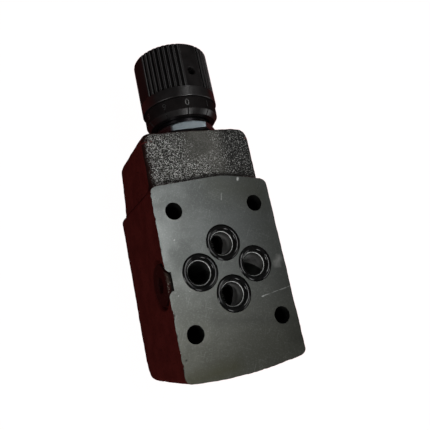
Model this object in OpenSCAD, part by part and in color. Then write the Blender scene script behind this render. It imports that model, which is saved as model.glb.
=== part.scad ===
// Hydraulic sandwich valve, size 03: an iron body between two machined faces, with a knob-set relief
// spool that opens the passage from port B to port T.
// Millimetres. Origin: centre of the port pattern on the back face. +Y runs along the valve axis
// toward the knob and +Z is the outward normal of the port face.

/* [Body block] */
// Width of the block across the ports
body_w = 45.4; // [44:0.2:60]
// Thickness between the two machined faces
body_h = 40; // [38:0.5:60]
// Knob end of the block from the port centre, on the middle line
knob_end = 32; // [28:0.5:42]
// Far end of the block from the port centre, on the middle line
far_end = 35; // [26:0.5:50]
// Rise of each crowned end across the block's width
end_crown = 1.6; // [0.6:0.1:4]
// Radius of the four upright corners
corner_r = 2.25; // [1:0.25:5]
// Cast radius along the far end's lower edge
far_edge_r = 8; // [1:0.25:10]

/* [Boss] */
// Width of the boss that carries the adjuster
boss_w = 42.6; // [34:0.2:44]
// End of the boss from the port centre
boss_end = 52; // [46:0.2:70]
// Drop from the port face to the front of the boss
boss_step = 2; // [0.5:0.25:2.5]
// Height of the boss's underside above the back face, at the block
boss_lift = 1.5; // [0.5:0.25:5]
// Rise of the boss's underside toward its end
boss_rise = 4.5; // [0.5:0.25:7]
// Radius of the boss's long front edges
boss_edge_r = 2; // [1:0.25:6]
// Radius between the boss's end and its front
boss_end_r = 1; // [0.5:0.25:5]
// Radius of the boss's two upright corners
boss_corner_r = 4.5; // [1:0.25:6]
// Radius between the boss's end and its underside
boss_heel_r = 5; // [1:0.25:8]

/* [Port pattern] */
// Distance between ports A and B
port_ab = 17.5; // [16.5:0.1:20]
// Distance between ports P and T
port_pt = 20.8; // [20:0.1:24]
// Diameter of each port
port_d = 7.5; // [6:0.1:7.6]
// Diameter of the seal counterbores on the port face
seal_bore_d = 12.8; // [11.5:0.1:13]
// Depth of the seal counterbores
seal_bore_depth = 1.4; // [1:0.05:1.6]
// Width of a port O-ring's squeezed section
port_ring_w = 1.95; // [1.6:0.05:2]
// Distance across the knob-end bolt pair
bolt_knob_w = 31; // [30:0.25:34]
// Distance across the far-end bolt pair
bolt_far_w = 32.5; // [30:0.25:34]
// Knob-end bolt pair from the port centre
bolt_knob_y = 21.45; // [20:0.05:24]
// Far-end bolt pair from the port centre
bolt_far_y = 19.05; // [18:0.05:22]
// Diameter of the bolt holes
bolt_d = 6; // [5.3:0.1:6.6]

/* [Drain] */
// Drain drilling from the port centre along the valve axis
drain_y = -1.4; // [-2:0.1:0]
// Depth of the drain drilling under the port face
drain_depth = 7.4; // [7:0.1:9]
// Diameter of the drain drilling
drain_d = 4; // [3:0.1:4.4]
// Diameter of the spot face for the side plug
spot_d = 16; // [15.5:0.25:20]
// Depth of the spot face
spot_depth = 2.2; // [1:0.1:4]
// Thread diameter of the side plug
plug_thread_d = 9.7; // [8:0.1:11]
// Flange diameter of the side plug
plug_flange_d = 14; // [13.5:0.25:15]
// Flange thickness of the side plug
plug_flange_h = 1.8; // [1:0.1:3]
// Metal left between the side plug and port T
plug_wall = 0.6; // [0.4:0.1:1]
// Section of the side plug's O-ring
plug_seal_d = 1.2; // [0.8:0.1:1.5]
// Width across the side plug's hexagon socket
plug_socket_af = 5; // [4:0.5:6]
// Depth of the side plug's socket
plug_socket_depth = 3.5; // [2:0.25:4]

/* [Valve bore] */
// Depth of the valve axis under the port face
axis_depth = 13; // [12.5:0.25:16]
// Diameter of the spool bore
spool_d = 10; // [9:0.25:11]
// Radial running clearance of the spool
spool_clear = 0.03; // [0.01:0.01:0.08]
// Overlap of each spool land past the edge of a port
land_lap = 0.4; // [0.2:0.05:0.5]
// Length of the guide land past port A
guide_len = 8.5; // [6:0.25:12]
// Diameter of the spool's nose and of its waist at port A
waist_d = 4.4; // [3.6:0.1:5.5]
// Diameter of the spool's waist at the drain
drain_waist_d = 6.4; // [5.5:0.1:7]
// Diameter of the drilling through the spool
spool_drill_d = 1.6; // [1:0.1:2]
// Metal left past port B at the blind end of the bore
bore_past_b = 1; // [0.5:0.1:2]
// Diameter of the spring chamber
chamber_d = 15; // [14:0.25:16]
// Diameter of the thread in the boss
thread_d = 18; // [17.5:0.25:19]
// Length of the thread in the boss
thread_len = 12; // [10:0.25:16]

/* [Spring set] */
// Wire of the main spring
wire_d = 1.8; // [1.2:0.1:2]
// Outer diameter of the main spring
spring_od = 12.4; // [11.5:0.1:13]
// Thickness of the lower spring plate
low_plate_h = 2; // [1.5:0.25:3]
// Thickness of the upper spring plate
top_plate_h = 3; // [2.5:0.25:4]
// Height of the centring stub on each spring plate
stub_h = 1.2; // [0.8:0.1:2]
// Diameter of the thrust ball
ball_d = 4; // [3:0.25:4.5]

/* [Adjuster] */
// Width across the flats of the hexagon
hex_af = 22; // [21:0.5:27]
// Height of the hexagon
hex_h = 3; // [2:0.2:8]
// Turn of the hexagon about the valve axis from the port face, in degrees
hex_turn = -13; // [-30:1:30]
// Diameter of the neck above the hexagon
neck_d = 19.6; // [18:0.2:21]
// Length of the neck above the hexagon
neck_len = 11.4; // [10:0.2:16]
// Thread diameter of the spindle
spindle_d = 10; // [9:0.25:11]
// Diameter of the spindle's collar
collar_d = 12; // [11.5:0.25:13]
// Height of the spindle's collar
collar_h = 1.8; // [1.5:0.1:3]
// Diameter of the spindle's shank in the knob
shank_d = 8; // [6:0.25:8.5]
// Section of the spindle's O-ring
spindle_seal_d = 1.5; // [1:0.1:1.8]
// Thickness of the spindle's back-up ring
backup_h = 1; // [0.8:0.1:1.4]
// Section of the O-ring under the hexagon
sleeve_seal_d = 1.78; // [1.2:0.02:1.9]
// Travel of the knob each way from rest
knob_travel = 1.5; // [1:0.25:3]

/* [Knob] */
// Diameter of the knob
knob_d = 28.6; // [27.5:0.2:36]
// Height of the knob
knob_h = 21.4; // [18:0.2:30]
// Height of the smooth band at the foot of the knob
band_h = 4; // [3:0.25:8]
// Grooves between two panels
grooves = 8; // [5:1:9]
// Angle from groove to groove, in degrees
groove_pitch = 7.8; // [7:0.1:8]
// Radius of each groove
groove_r = 0.65; // [0.35:0.05:0.7]
// Width of each smooth panel
panel_w = 6.1; // [4:0.1:6.5]
// Turn of the panels about the valve axis from the port face, in degrees
panel_turn = 7; // [-45:1:45]
// Radius of the knob's top edge
knob_edge_r = 1; // [0.5:0.1:2]
// Thickness of the knob's top wall
knob_top = 2.6; // [1.5:0.1:4]
// Diameter of the set screw
set_screw_d = 3; // [2.5:0.1:4]
// Length of the set screw
set_screw_len = 6; // [4:0.5:8]
// Set screw from the foot of the knob
set_screw_y = 10.2; // [9:0.1:12]

/* [Scale ring] */
// Height of the scale ring under the knob
ring_h = 6.4; // [5:0.2:10]
// Step from the knob's outside in to the scale ring
ring_step = 0.6; // [0.2:0.1:0.8]
// Height of the scale ring's bevel
bevel_h = 1.8; // [1:0.1:3]
// Depth of the scale ring's bevel
bevel_in = 1.4; // [0.8:0.1:1.4]
// Gap left to the hexagon at the end of travel
ring_gap = 0.5; // [0.4:0.1:2]
// Radial clearance between the scale ring and the neck
ring_clear = 0.5; // [0.4:0.05:1]
// Wall of the spigot that joins the scale ring to the knob
spigot_wall = 1.2; // [0.8:0.1:1.6]
// Length of that spigot
spigot_h = 3; // [2:0.25:3.5]

/* [Hidden] */
$fn = 96;
eps = 0.01;
// Clearance of a screwed or slipped fit, on the radius
fit = 0.05;
// Clearance between parts that pass each other
pass = 0.4;
// Clearance at the end of a groove, a bore or a stroke
end_gap = 0.2;
// Clearance of a loosely guided piece
slip = 0.3;
// Radial gap round the spring plates
plate_gap = 0.6;
// How far the spool stands out of its bore into the spring chamber
spool_stand = 1;
// Gap between the neck at the end of travel and the knob's hub
hub_gap = 1;
// Smallest distance between working coils of the spring, in wires
coil_pitch = 1.6;
// Chamfer on turned edges
edge = 0.6;

axis_z = body_h - axis_depth;
side_x = body_w / 2;
crown_r = (pow(side_x, 2) + pow(end_crown, 2)) / (2 * end_crown);
port_sites = [[0, port_ab / 2], [0, -port_ab / 2], [port_pt / 2, 0], [-port_pt / 2, 0]];
bolt_sites = [
  [bolt_knob_w / 2, bolt_knob_y],
  [-bolt_knob_w / 2, bolt_knob_y],
  [bolt_far_w / 2, -bolt_far_y],
  [-bolt_far_w / 2, -bolt_far_y]
];

// Stations along the valve axis, from the blind end to the top of the knob
bore_y0 = -port_ab / 2 - port_d / 2 - bore_past_b;
b_edge = -port_ab / 2 + port_d / 2;
t_low = drain_y - drain_d / 2;
t_high = drain_y + drain_d / 2;
a_low = port_ab / 2 - port_d / 2;
a_high = port_ab / 2 + port_d / 2;
chamber_y0 = a_high + guide_len;
spool_top = chamber_y0 + spool_stand;
low_plate_y = spool_top + low_plate_h;
thread_y0 = boss_end - thread_len;
sleeve_y0 = thread_y0 + edge;
top_plate_y = sleeve_y0 + slip;
spindle_y0 = top_plate_y + top_plate_h + pass;
sleeve_roof = spindle_y0 + collar_h + knob_travel + end_gap;
seal_seat_y = boss_end - sleeve_seal_d - end_gap;
hex_top = boss_end + hex_h;
neck_top = hex_top + neck_len;
ring_y0 = hex_top + knob_travel + ring_gap;
knob_y0 = ring_y0 + ring_h;
knob_y1 = knob_y0 + knob_h;
rib_y0 = knob_y0 + band_h;
hub_y0 = max(neck_top + knob_travel, knob_y0 + spigot_h) + hub_gap;
shank_y1 = knob_y1 - knob_top - pass;

// Radii about the valve axis
spool_r = spool_d / 2 - spool_clear;
plate_r = chamber_d / 2 - plate_gap;
sleeve_r = thread_d / 2 - fit;
plate_bore_r = plate_r + slip;
spindle_bore_r = spindle_d / 2 + fit;
knob_r = knob_d / 2;
ring_r = knob_r - ring_step;
ring_bore_r = neck_d / 2 + ring_clear;
spigot_r = ring_bore_r + spigot_wall;
coil_r = (spring_od - wire_d) / 2;
stub_r = coil_r - wire_d / 2 - slip;
seal_groove_r = spindle_d / 2 - spindle_seal_d;
seal_y0 = neck_top - knob_travel - edge - spindle_seal_d - backup_h - pass;

// Colours
iron = "#3d403e";
rubber = "#141414";
zinc = "#8d949c";
black_steel = "#2a2727";
steel = "#75777a";
plastic = "#1b1b1d";

// Turns a shape drawn about local Z onto the valve axis, with local Z along +Y.
module on_axis() {
  translate([0, 0, axis_z]) rotate([-90, 0, 0]) children();
}

// A turned piece on the valve axis from [radius, station] points.
module turned(points) {
  on_axis() rotate_extrude() polygon(points);
}

// A plain bore on the valve axis.
module axis_bore(d, from, to) {
  on_axis() translate([0, 0, from]) cylinder(d = d, h = to - from);
}

// Points a shape drawn about local X outward from the valve axis, turned from +Z toward +X.
module radial(turn, station) {
  on_axis() translate([0, 0, station]) rotate([0, 0, turn - 90]) children();
}

// A ring of round section, lying in the XY plane.
module round_ring(centre_r, section_d) {
  rotate_extrude() translate([centre_r, 0]) circle(d = section_d, $fn = 32);
}

// What rounding takes off a corner: the fillet's centre is the origin and its arc runs from angle a0 to a1.
module corner_waste(r, a0 = 0, a1 = 90) {
  out = r + 1;
  half = (a1 - a0) / 2;
  difference() {
    polygon([
      [0, 0],
      out * [cos(a0), sin(a0)],
      out / cos(half) * [cos(a0 + half), sin(a0 + half)],
      out * [cos(a1), sin(a1)]
    ]);
    circle(r);
  }
}

// Plan of the block: straight sides and two crowned ends, with rounded corners.
module block_plan() {
  fillet_x = side_x - corner_r;
  fillet_in = crown_r - sqrt(pow(crown_r - corner_r, 2) - pow(fillet_x, 2));
  lean = asin(fillet_x / (crown_r - corner_r));
  difference() {
    intersection() {
      translate([-side_x, -far_end]) square([body_w, far_end + knob_end]);
      translate([0, knob_end - crown_r]) circle(crown_r, $fn = 360);
      translate([0, crown_r - far_end]) circle(crown_r, $fn = 360);
    }
    for (m = [0, 1]) mirror([m, 0]) {
      translate([fillet_x, knob_end - fillet_in]) corner_waste(corner_r, 0, 90 - lean);
      translate([fillet_x, fillet_in - far_end]) corner_waste(corner_r, lean - 90, 0);
    }
  }
}

module block() {
  difference() {
    linear_extrude(body_h) block_plan();
    translate([-body_w, far_edge_r - far_end, far_edge_r]) rotate([90, 0, 90])
      linear_extrude(2 * body_w) corner_waste(far_edge_r, 180, 270);
  }
}

// Side view of the boss, in Y and Z: a level front, a flat end and an underside that rises to a round heel.
module boss_side(root_y, front_z) {
  slope = atan(boss_rise / (boss_end - knob_end));
  heel_y = boss_end - boss_heel_r;
  heel_z = boss_lift + tan(slope) * (heel_y - knob_end) + boss_heel_r / cos(slope);
  difference() {
    polygon([
      [root_y, boss_lift],
      [knob_end, boss_lift],
      [boss_end, boss_lift + boss_rise],
      [boss_end, front_z],
      [root_y, front_z]
    ]);
    translate([boss_end - boss_end_r, front_z - boss_end_r]) corner_waste(boss_end_r);
    translate([heel_y, heel_z]) corner_waste(boss_heel_r, slope - 90, 0);
  }
}

// The boss: its plan, its end view and its side view, intersected.
module boss() {
  root_y = knob_end / 2;
  front_z = body_h - boss_step;
  half_w = boss_w / 2;
  intersection() {
    linear_extrude(body_h) difference() {
      translate([-half_w, root_y]) square([boss_w, boss_end - root_y]);
      for (m = [0, 1]) mirror([m, 0])
        translate([half_w - boss_corner_r, boss_end - boss_corner_r]) corner_waste(boss_corner_r);
    }
    translate([0, boss_end + 1, 0]) rotate([90, 0, 0]) linear_extrude(boss_end) difference() {
      translate([-half_w, 0]) square([boss_w, front_z]);
      for (m = [0, 1]) mirror([m, 0])
        translate([half_w - boss_edge_r, front_z - boss_edge_r]) corner_waste(boss_edge_r);
    }
    translate([-boss_w, 0, 0]) rotate([90, 0, 90]) linear_extrude(2 * boss_w) boss_side(root_y, front_z);
  }
}

// The drain from the left side, through port T to the spool bore.
module drain_line() {
  drain_z = body_h - drain_depth;
  seat_x = side_x - spot_depth;
  thread_x = port_pt / 2 + port_d / 2 + plug_wall;
  translate([0, drain_y, drain_z]) rotate([0, -90, 0]) {
    translate([0, 0, -drain_d / 2]) cylinder(d = drain_d, h = thread_x + drain_d);
    translate([0, 0, thread_x - end_gap]) cylinder(d = plug_thread_d, h = seat_x - thread_x + 1);
    translate([0, 0, seat_x - plug_seal_d]) cylinder(r = plug_thread_d / 2 + plug_seal_d + fit, h = body_w);
    translate([0, 0, seat_x]) cylinder(d = spot_d, h = body_w);
  }
}

module valve_body() {
  color(iron) difference() {
    union() {
      block();
      boss();
    }
    for (p = port_sites) {
      translate([p.x, p.y, -1]) cylinder(d = port_d, h = body_h + 2);
      translate([p.x, p.y, body_h - seal_bore_depth]) cylinder(d = seal_bore_d, h = body_h);
    }
    for (p = bolt_sites) translate([p.x, p.y, -1]) cylinder(d = bolt_d, h = body_h + 2);
    axis_bore(spool_d, bore_y0, chamber_y0 + eps);
    axis_bore(chamber_d, chamber_y0, thread_y0 + eps);
    axis_bore(thread_d, thread_y0, boss_end + 1);
    axis_bore(thread_d + 2 * edge, seal_seat_y, boss_end + 1);
    drain_line();
  }
}

// An O-ring of the port face, squeezed level with it as it is when the valve is bolted up.
module port_ring(site) {
  centre_r = seal_bore_d / 2 - port_ring_w / 2 - 2 * eps;
  color(rubber) translate([site.x, site.y, body_h - seal_bore_depth / 2]) rotate_extrude()
    translate([centre_r, 0]) intersection() {
      circle(d = port_ring_w, $fn = 32);
      square([2 * port_ring_w, seal_bore_depth], center = true);
    }
}

module port_ring_a() {
  port_ring(port_sites[0]);
}

module port_ring_b() {
  port_ring(port_sites[1]);
}

module port_ring_p() {
  port_ring(port_sites[2]);
}

module port_ring_t() {
  port_ring(port_sites[3]);
}

// Places a piece drawn about local Z on the side plug's axis, with local Z outward from the spot face.
module at_side_plug() {
  translate([spot_depth - side_x, drain_y, body_h - drain_depth]) rotate([0, -90, 0]) children();
}

module side_plug() {
  plug_len = side_x - spot_depth - port_pt / 2 - port_d / 2 - plug_wall;
  socket_d = plug_socket_af / cos(30);
  color(black_steel) at_side_plug() difference() {
    union() {
      translate([0, 0, -plug_len]) cylinder(r = plug_thread_d / 2 - fit, h = plug_len + eps);
      cylinder(d = plug_flange_d, h = plug_flange_h);
    }
    translate([0, 0, plug_flange_h - plug_socket_depth]) cylinder(d = socket_d, h = plug_socket_depth + 1, $fn = 6);
  }
}

module side_plug_seal() {
  color(rubber) at_side_plug() translate([0, 0, -plug_seal_d / 2])
    round_ring(plug_thread_d / 2 + plug_seal_d / 2, plug_seal_d - 2 * eps);
}

module control_spool() {
  stub_top = low_plate_y + stub_h;
  color(steel) difference() {
    turned([
      [0, bore_y0],
      [waist_d / 2, bore_y0],
      [waist_d / 2, b_edge - land_lap],
      [spool_r, b_edge - land_lap],
      [spool_r, t_low + land_lap],
      [drain_waist_d / 2, t_low + land_lap],
      [drain_waist_d / 2, t_high - land_lap],
      [spool_r, t_high - land_lap],
      [spool_r, a_low - land_lap],
      [waist_d / 2, a_low - land_lap],
      [waist_d / 2, a_high + land_lap],
      [spool_r, a_high + land_lap],
      [spool_r, spool_top],
      [waist_d / 2, spool_top],
      [waist_d / 2, stub_top],
      [0, stub_top]
    ]);
    axis_bore(spool_drill_d, drain_y, stub_top + 1);
    radial(hex_turn, drain_y) rotate([0, 90, 0]) cylinder(d = spool_drill_d / 2, h = spool_d);
  }
}

module lower_spring_plate() {
  bore_r = waist_d / 2 + fit;
  color(steel) turned([
    [bore_r, spool_top],
    [plate_r - edge, spool_top],
    [plate_r, spool_top + edge],
    [plate_r, low_plate_y],
    [stub_r, low_plate_y],
    [stub_r, low_plate_y + stub_h],
    [bore_r, low_plate_y + stub_h]
  ]);
}

module upper_spring_plate() {
  color(steel) difference() {
    turned([
      [0, top_plate_y - stub_h],
      [stub_r, top_plate_y - stub_h],
      [stub_r, top_plate_y],
      [plate_r, top_plate_y],
      [plate_r, top_plate_y + top_plate_h],
      [0, top_plate_y + top_plate_h]
    ]);
    axis_bore(ball_d + 2 * fit, spindle_y0 - pass / 2 - ball_d / 2, spindle_y0);
  }
}

module thrust_ball() {
  color(steel) translate([0, spindle_y0 - pass / 2, axis_z]) sphere(d = ball_d - 2 * fit);
}

// A coil spring with one closed turn at each end: a round wire of 8 sides swept along its helix.
module main_spring() {
  sides = 8;
  per_turn = 16;
  length = top_plate_y - low_plate_y - wire_d;
  closed = wire_d + end_gap / 2;
  working = max(1, floor((length - 2 * closed) / (coil_pitch * wire_d)));
  pitch = (length - 2 * closed) / working;
  last = (working + 2) * per_turn;
  function climb(t) =
    t < 1 ? t * closed :
    t < working + 1 ? closed + (t - 1) * pitch :
    closed + working * pitch + (t - working - 1) * closed;
  function wire_point(i, k) =
    let(a = 360 * i / per_turn, b = 360 * k / sides, r = coil_r + wire_d / 2 * cos(b))
    [r * cos(a), r * sin(a), climb(i / per_turn) + wire_d / 2 * sin(b)];
  points = [for (i = [0:last]) for (k = [0:sides - 1]) wire_point(i, k)];
  faces = concat(
    [[for (k = [0:sides - 1]) k]],
    [for (i = [0:last - 1]) for (k = [0:sides - 1])
      let(j = (k + 1) % sides)
      [i * sides + k, (i + 1) * sides + k, (i + 1) * sides + j, i * sides + j]],
    [[for (k = [sides - 1:-1:0]) last * sides + k]]
  );
  color(steel) on_axis() translate([0, 0, low_plate_y + wire_d / 2]) polyhedron(points, faces);
}

module adjuster_sleeve() {
  groove_r_in = thread_d / 2 + edge - sleeve_seal_d - fit;
  corner = hex_af / cos(30) / 2;
  color(zinc) difference() {
    union() {
      turned([
        [0, sleeve_y0],
        [sleeve_r - edge, sleeve_y0],
        [sleeve_r, sleeve_y0 + edge],
        [sleeve_r, seal_seat_y],
        [groove_r_in, seal_seat_y],
        [groove_r_in, boss_end + eps],
        [0, boss_end + eps]
      ]);
      intersection() {
        radial(hex_turn, boss_end) rotate([0, 0, 30]) cylinder(r = corner, h = hex_h, $fn = 6);
        turned([
          [0, boss_end - 1],
          [corner + 1, boss_end - 1],
          [corner + 1, hex_top - (corner + 1 - hex_af / 2) * tan(30)],
          [hex_af / 2, hex_top],
          [0, hex_top]
        ]);
      }
      turned([
        [0, hex_top - eps],
        [neck_d / 2, hex_top - eps],
        [neck_d / 2, neck_top - edge],
        [neck_d / 2 - edge, neck_top],
        [0, neck_top]
      ]);
    }
    axis_bore(2 * plate_bore_r, sleeve_y0 - 1, sleeve_roof);
    axis_bore(2 * spindle_bore_r, sleeve_roof - 1, neck_top + 1);
  }
}

module sleeve_seal() {
  centre_r = thread_d / 2 + edge - sleeve_seal_d / 2 - fit / 2;
  color(rubber) on_axis() translate([0, 0, boss_end - sleeve_seal_d / 2 - end_gap / 2])
    round_ring(centre_r, sleeve_seal_d - 2 * eps);
}

module spindle() {
  groove_h = spindle_seal_d + backup_h + end_gap;
  color(steel) difference() {
    turned([
      [0, spindle_y0],
      [collar_d / 2, spindle_y0],
      [collar_d / 2, spindle_y0 + collar_h],
      [spindle_d / 2, spindle_y0 + collar_h],
      [spindle_d / 2, seal_y0],
      [seal_groove_r, seal_y0],
      [seal_groove_r, seal_y0 + groove_h],
      [spindle_d / 2, seal_y0 + groove_h],
      [spindle_d / 2, hub_y0],
      [shank_d / 2, hub_y0],
      [shank_d / 2, shank_y1 - edge],
      [shank_d / 2 - edge, shank_y1],
      [0, shank_y1]
    ]);
    axis_bore(ball_d + 2 * fit, spindle_y0 - 1, spindle_y0 - pass / 2 + ball_d / 2);
  }
}

module spindle_seal() {
  color(rubber) on_axis() translate([0, 0, seal_y0 + spindle_seal_d / 2 + fit])
    round_ring(spindle_d / 2 + fit / 2 - spindle_seal_d / 2, spindle_seal_d - 2 * eps);
}

module spindle_backup_ring() {
  ring_low = seal_y0 + spindle_seal_d + 2 * fit;
  color("white") turned([
    [seal_groove_r + eps, ring_low],
    [spindle_d / 2, ring_low],
    [spindle_d / 2, ring_low + backup_h],
    [seal_groove_r + eps, ring_low + backup_h]
  ]);
}

module scale_ring() {
  spigot_top = knob_y0 + spigot_h;
  color(plastic) turned([
    [ring_bore_r, ring_y0],
    [ring_r - bevel_in, ring_y0],
    [ring_r, ring_y0 + bevel_h],
    [ring_r, knob_y0 - fit],
    [spigot_r, knob_y0 - fit],
    [spigot_r, spigot_top],
    [ring_bore_r, spigot_top]
  ]);
}

// Section of the knob above its band: grooves in four groups, with a smooth panel between groups.
module ribbed_section() {
  panel_in = sqrt(pow(knob_r, 2) - pow(panel_w / 2, 2));
  difference() {
    circle(knob_r + 1);
    for (s = [0:3]) rotate(90 * s) {
      translate([panel_in, -panel_w]) square(2 * panel_w);
      for (i = [0:grooves - 1]) rotate(45 + (i - (grooves - 1) / 2) * groove_pitch)
        translate([knob_r - groove_r / 3, 0]) {
          circle(groove_r, $fn = 24);
          translate([0, -groove_r]) square(2 * groove_r);
        }
    }
  }
}

module knob() {
  color(plastic) difference() {
    intersection() {
      on_axis() rotate_extrude() difference() {
        translate([0, knob_y0]) square([knob_r, knob_h]);
        translate([knob_r - knob_edge_r, knob_y1 - knob_edge_r]) corner_waste(knob_edge_r);
      }
      union() {
        axis_bore(knob_d + 2, knob_y0 - 1, rib_y0);
        radial(panel_turn, rib_y0 - eps) linear_extrude(knob_h) ribbed_section();
      }
    }
    axis_bore(2 * (spigot_r + fit), knob_y0 - 1, knob_y0 + spigot_h + end_gap);
    axis_bore(2 * ring_bore_r, knob_y0, hub_y0);
    axis_bore(shank_d + 2 * fit, hub_y0 - 1, knob_y1 - knob_top);
    radial(panel_turn, knob_y0 + set_screw_y) rotate([0, 90, 0]) cylinder(d = set_screw_d, h = knob_d);
  }
}

module set_screw() {
  socket_d = set_screw_d / 2 / cos(30);
  color(steel) radial(panel_turn, knob_y0 + set_screw_y) rotate([0, 90, 0])
    translate([0, 0, shank_d / 2 + eps]) difference() {
      cylinder(r = set_screw_d / 2 - fit, h = set_screw_len);
      translate([0, 0, set_screw_len - set_screw_d / 2]) cylinder(d = socket_d, h = set_screw_d, $fn = 6);
    }
}

valve_body();
port_ring_a();
port_ring_b();
port_ring_p();
port_ring_t();
side_plug();
side_plug_seal();
control_spool();
lower_spring_plate();
main_spring();
upper_spring_plate();
thrust_ball();
adjuster_sleeve();
sleeve_seal();
spindle();
spindle_seal();
spindle_backup_ring();
scale_ring();
knob();
set_screw();
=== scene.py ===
"""Looks of the size 03 hydraulic sandwich valve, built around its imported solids.

Lengths are in millimetres until a mesh is made. Origin: centre of the port pattern on the back face.
+Y runs along the valve axis toward the knob and +Z out of the port face. Angles about the valve axis
start at +Z and grow toward +X.
"""
import math

import bmesh
import bpy
import numpy as np
from mathutils import Matrix, Vector


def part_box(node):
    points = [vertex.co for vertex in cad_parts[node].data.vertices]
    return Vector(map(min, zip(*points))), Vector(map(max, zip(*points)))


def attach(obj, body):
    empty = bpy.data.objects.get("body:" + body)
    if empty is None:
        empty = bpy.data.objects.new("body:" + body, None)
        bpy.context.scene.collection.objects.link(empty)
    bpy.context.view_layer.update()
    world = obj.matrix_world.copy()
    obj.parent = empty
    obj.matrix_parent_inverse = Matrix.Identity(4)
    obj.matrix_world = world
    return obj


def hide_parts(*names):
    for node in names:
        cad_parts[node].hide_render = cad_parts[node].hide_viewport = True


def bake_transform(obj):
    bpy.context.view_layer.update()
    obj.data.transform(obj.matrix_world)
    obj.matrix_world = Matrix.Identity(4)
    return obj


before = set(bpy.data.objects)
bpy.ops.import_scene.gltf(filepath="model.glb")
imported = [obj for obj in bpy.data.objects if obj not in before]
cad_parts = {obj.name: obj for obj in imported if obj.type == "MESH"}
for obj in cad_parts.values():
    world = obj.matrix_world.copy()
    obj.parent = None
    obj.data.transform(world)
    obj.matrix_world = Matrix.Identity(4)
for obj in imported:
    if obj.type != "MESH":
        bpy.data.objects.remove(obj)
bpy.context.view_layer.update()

MM = 0.001
TURN = 2 * math.pi
QUARTER = math.pi / 2


def box_mm(node):
    """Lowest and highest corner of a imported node, in millimetres."""
    low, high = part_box(node)
    return np.array(low) / MM, np.array(high) / MM


# Sizes read from the frame
BODY_LOW, BODY_HIGH = box_mm("valve_body")
KNOB_LOW, KNOB_HIGH = box_mm("knob")
RING_LOW, RING_HIGH = box_mm("scale_ring")
SLEEVE_LOW, SLEEVE_HIGH = box_mm("adjuster_sleeve")
SPOOL_LOW, SPOOL_HIGH = box_mm("control_spool")
SCREW_LOW, SCREW_HIGH = box_mm("set_screw")
PLUG_LOW, PLUG_HIGH = box_mm("side_plug")
SPRING_LOW, SPRING_HIGH = box_mm("main_spring")
PORT_RINGS = ("port_ring_a", "port_ring_b", "port_ring_p", "port_ring_t")

AXIS_Z = (SPOOL_LOW[2] + SPOOL_HIGH[2]) / 2
SIDE_X = BODY_HIGH[0]
FACE_Z = BODY_HIGH[2]
FAR_Y = BODY_LOW[1]
BOSS_Y = BODY_HIGH[1]
KNOB_R = (KNOB_HIGH[0] - KNOB_LOW[0]) / 2
KNOB_Y0 = KNOB_LOW[1]
KNOB_Y1 = KNOB_HIGH[1]
RING_R = (RING_HIGH[0] - RING_LOW[0]) / 2
RING_Y0 = RING_LOW[1]
FLANGE_R = (PLUG_HIGH[1] - PLUG_LOW[1]) / 2

# Sizes of the solids that no box gives
KNOB_END = 32.0
END_CROWN = 1.6
CORNER_R = 2.25
FAR_EDGE_R = 8.0
BOSS_HALF = 21.3
BOSS_FRONT = FACE_Z - 2.0
BOSS_LIFT = 1.5
BOSS_RISE = 4.5
BOSS_EDGE_R = 2.0
BOSS_CORNER_R = 4.5
BOSS_HEEL_R = 5.0
PORT_R = 3.75
SEAL_BORE_R = 6.4
SEAL_BORE_DEPTH = 1.4
BOLT_R = 3.0
PORTS = np.array([[0.0, 8.75], [0.0, -8.75], [10.4, 0.0], [-10.4, 0.0]])
BOLTS = np.array([[15.5, 21.45], [-15.5, 21.45], [16.25, -19.05], [-16.25, -19.05]])
SPOT_Y = -1.4
SPOT_Z = FACE_Z - 7.4
SPOT_R = 8.0
SPOT_DEPTH = 2.2
SPOT_FLOOR_X = SPOT_DEPTH - SIDE_X
HEX_HALF = 11.0
HEX_TOP = BOSS_Y + 3.0
HEX_TURN = math.radians(-13)
NECK_R = 9.8
THREAD_R = 8.95
SEAL_GROOVE_R = 7.77
SEAL_GROOVE_Y = BOSS_Y - 1.98
SLEEVE_BORE_R = 7.2
SLEEVE_ROOF = 47.8
SPINDLE_BORE_R = 5.05
BAND_H = 4.0
BAND_Y = KNOB_Y0 + BAND_H
GROOVES = 8
GROOVE_PITCH = math.radians(7.8)
GROOVE_R = 0.65
PANEL_HALF = 3.05
PANEL_TURN = math.radians(7)
KNOB_EDGE_R = 1.0
KNOB_TOP = 2.6
SPIGOT_R = 11.55
SPIGOT_H = 3.2
HUB_Y0 = 68.9
HUB_BORE_R = 4.05
SCREW_R = 1.5
RING_BORE_R = 10.3
BEVEL_H = 1.8
BEVEL_IN = 1.4
BEVEL_Y = RING_Y0 + BEVEL_H
SCALE_TURN = math.radians(-10.6)
SCALE_MARKS = 10
SCALE_PITCH = TURN / SCALE_MARKS

# Wear and relief that only the scene has
BOSS_WORN_R = 1.4
BOSS_WORN_LEFT = 3.2
BOSS_LEFT_DROP = 1.0
SPOT_FLARE = 1.5
PORT_MOUTH_R = 4.25
PORT_MOUTH_LINE = 0.15
CREST_DEPTH = 0.012
RIB_EDGE = 0.35
KNOB_LIP = 0.2
MARK_HALF = 0.2
MARK_DEPTH = 0.28
SEAL_SECTION_R = 0.93
SEAL_PROUD = 0.22

# Noise and profiles
NOISE_VALUES = 8192
NOISE_PRIMES = (73856093, 19349663, 83492791)
GUARD_SHARE = 0.12


def unit(vector):
    """The vector at length 1, along its last axis."""
    return vector / np.linalg.norm(vector, axis=-1, keepdims=True)


def ease(value, low, high):
    """0 below low, 1 above high and the cubic 3t^2 - 2t^3 between them."""
    t = np.clip((value - low) / (high - low), 0, 1)
    return t * t * (3 - 2 * t)


def soft_min(a, b, width):
    """The smaller of two arrays, with the crease between them rounded over the given width."""
    lap = np.clip(0.5 + (b - a) / (2 * width), 0, 1)
    return b + (a - b) * lap - width * lap * (1 - lap)


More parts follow.
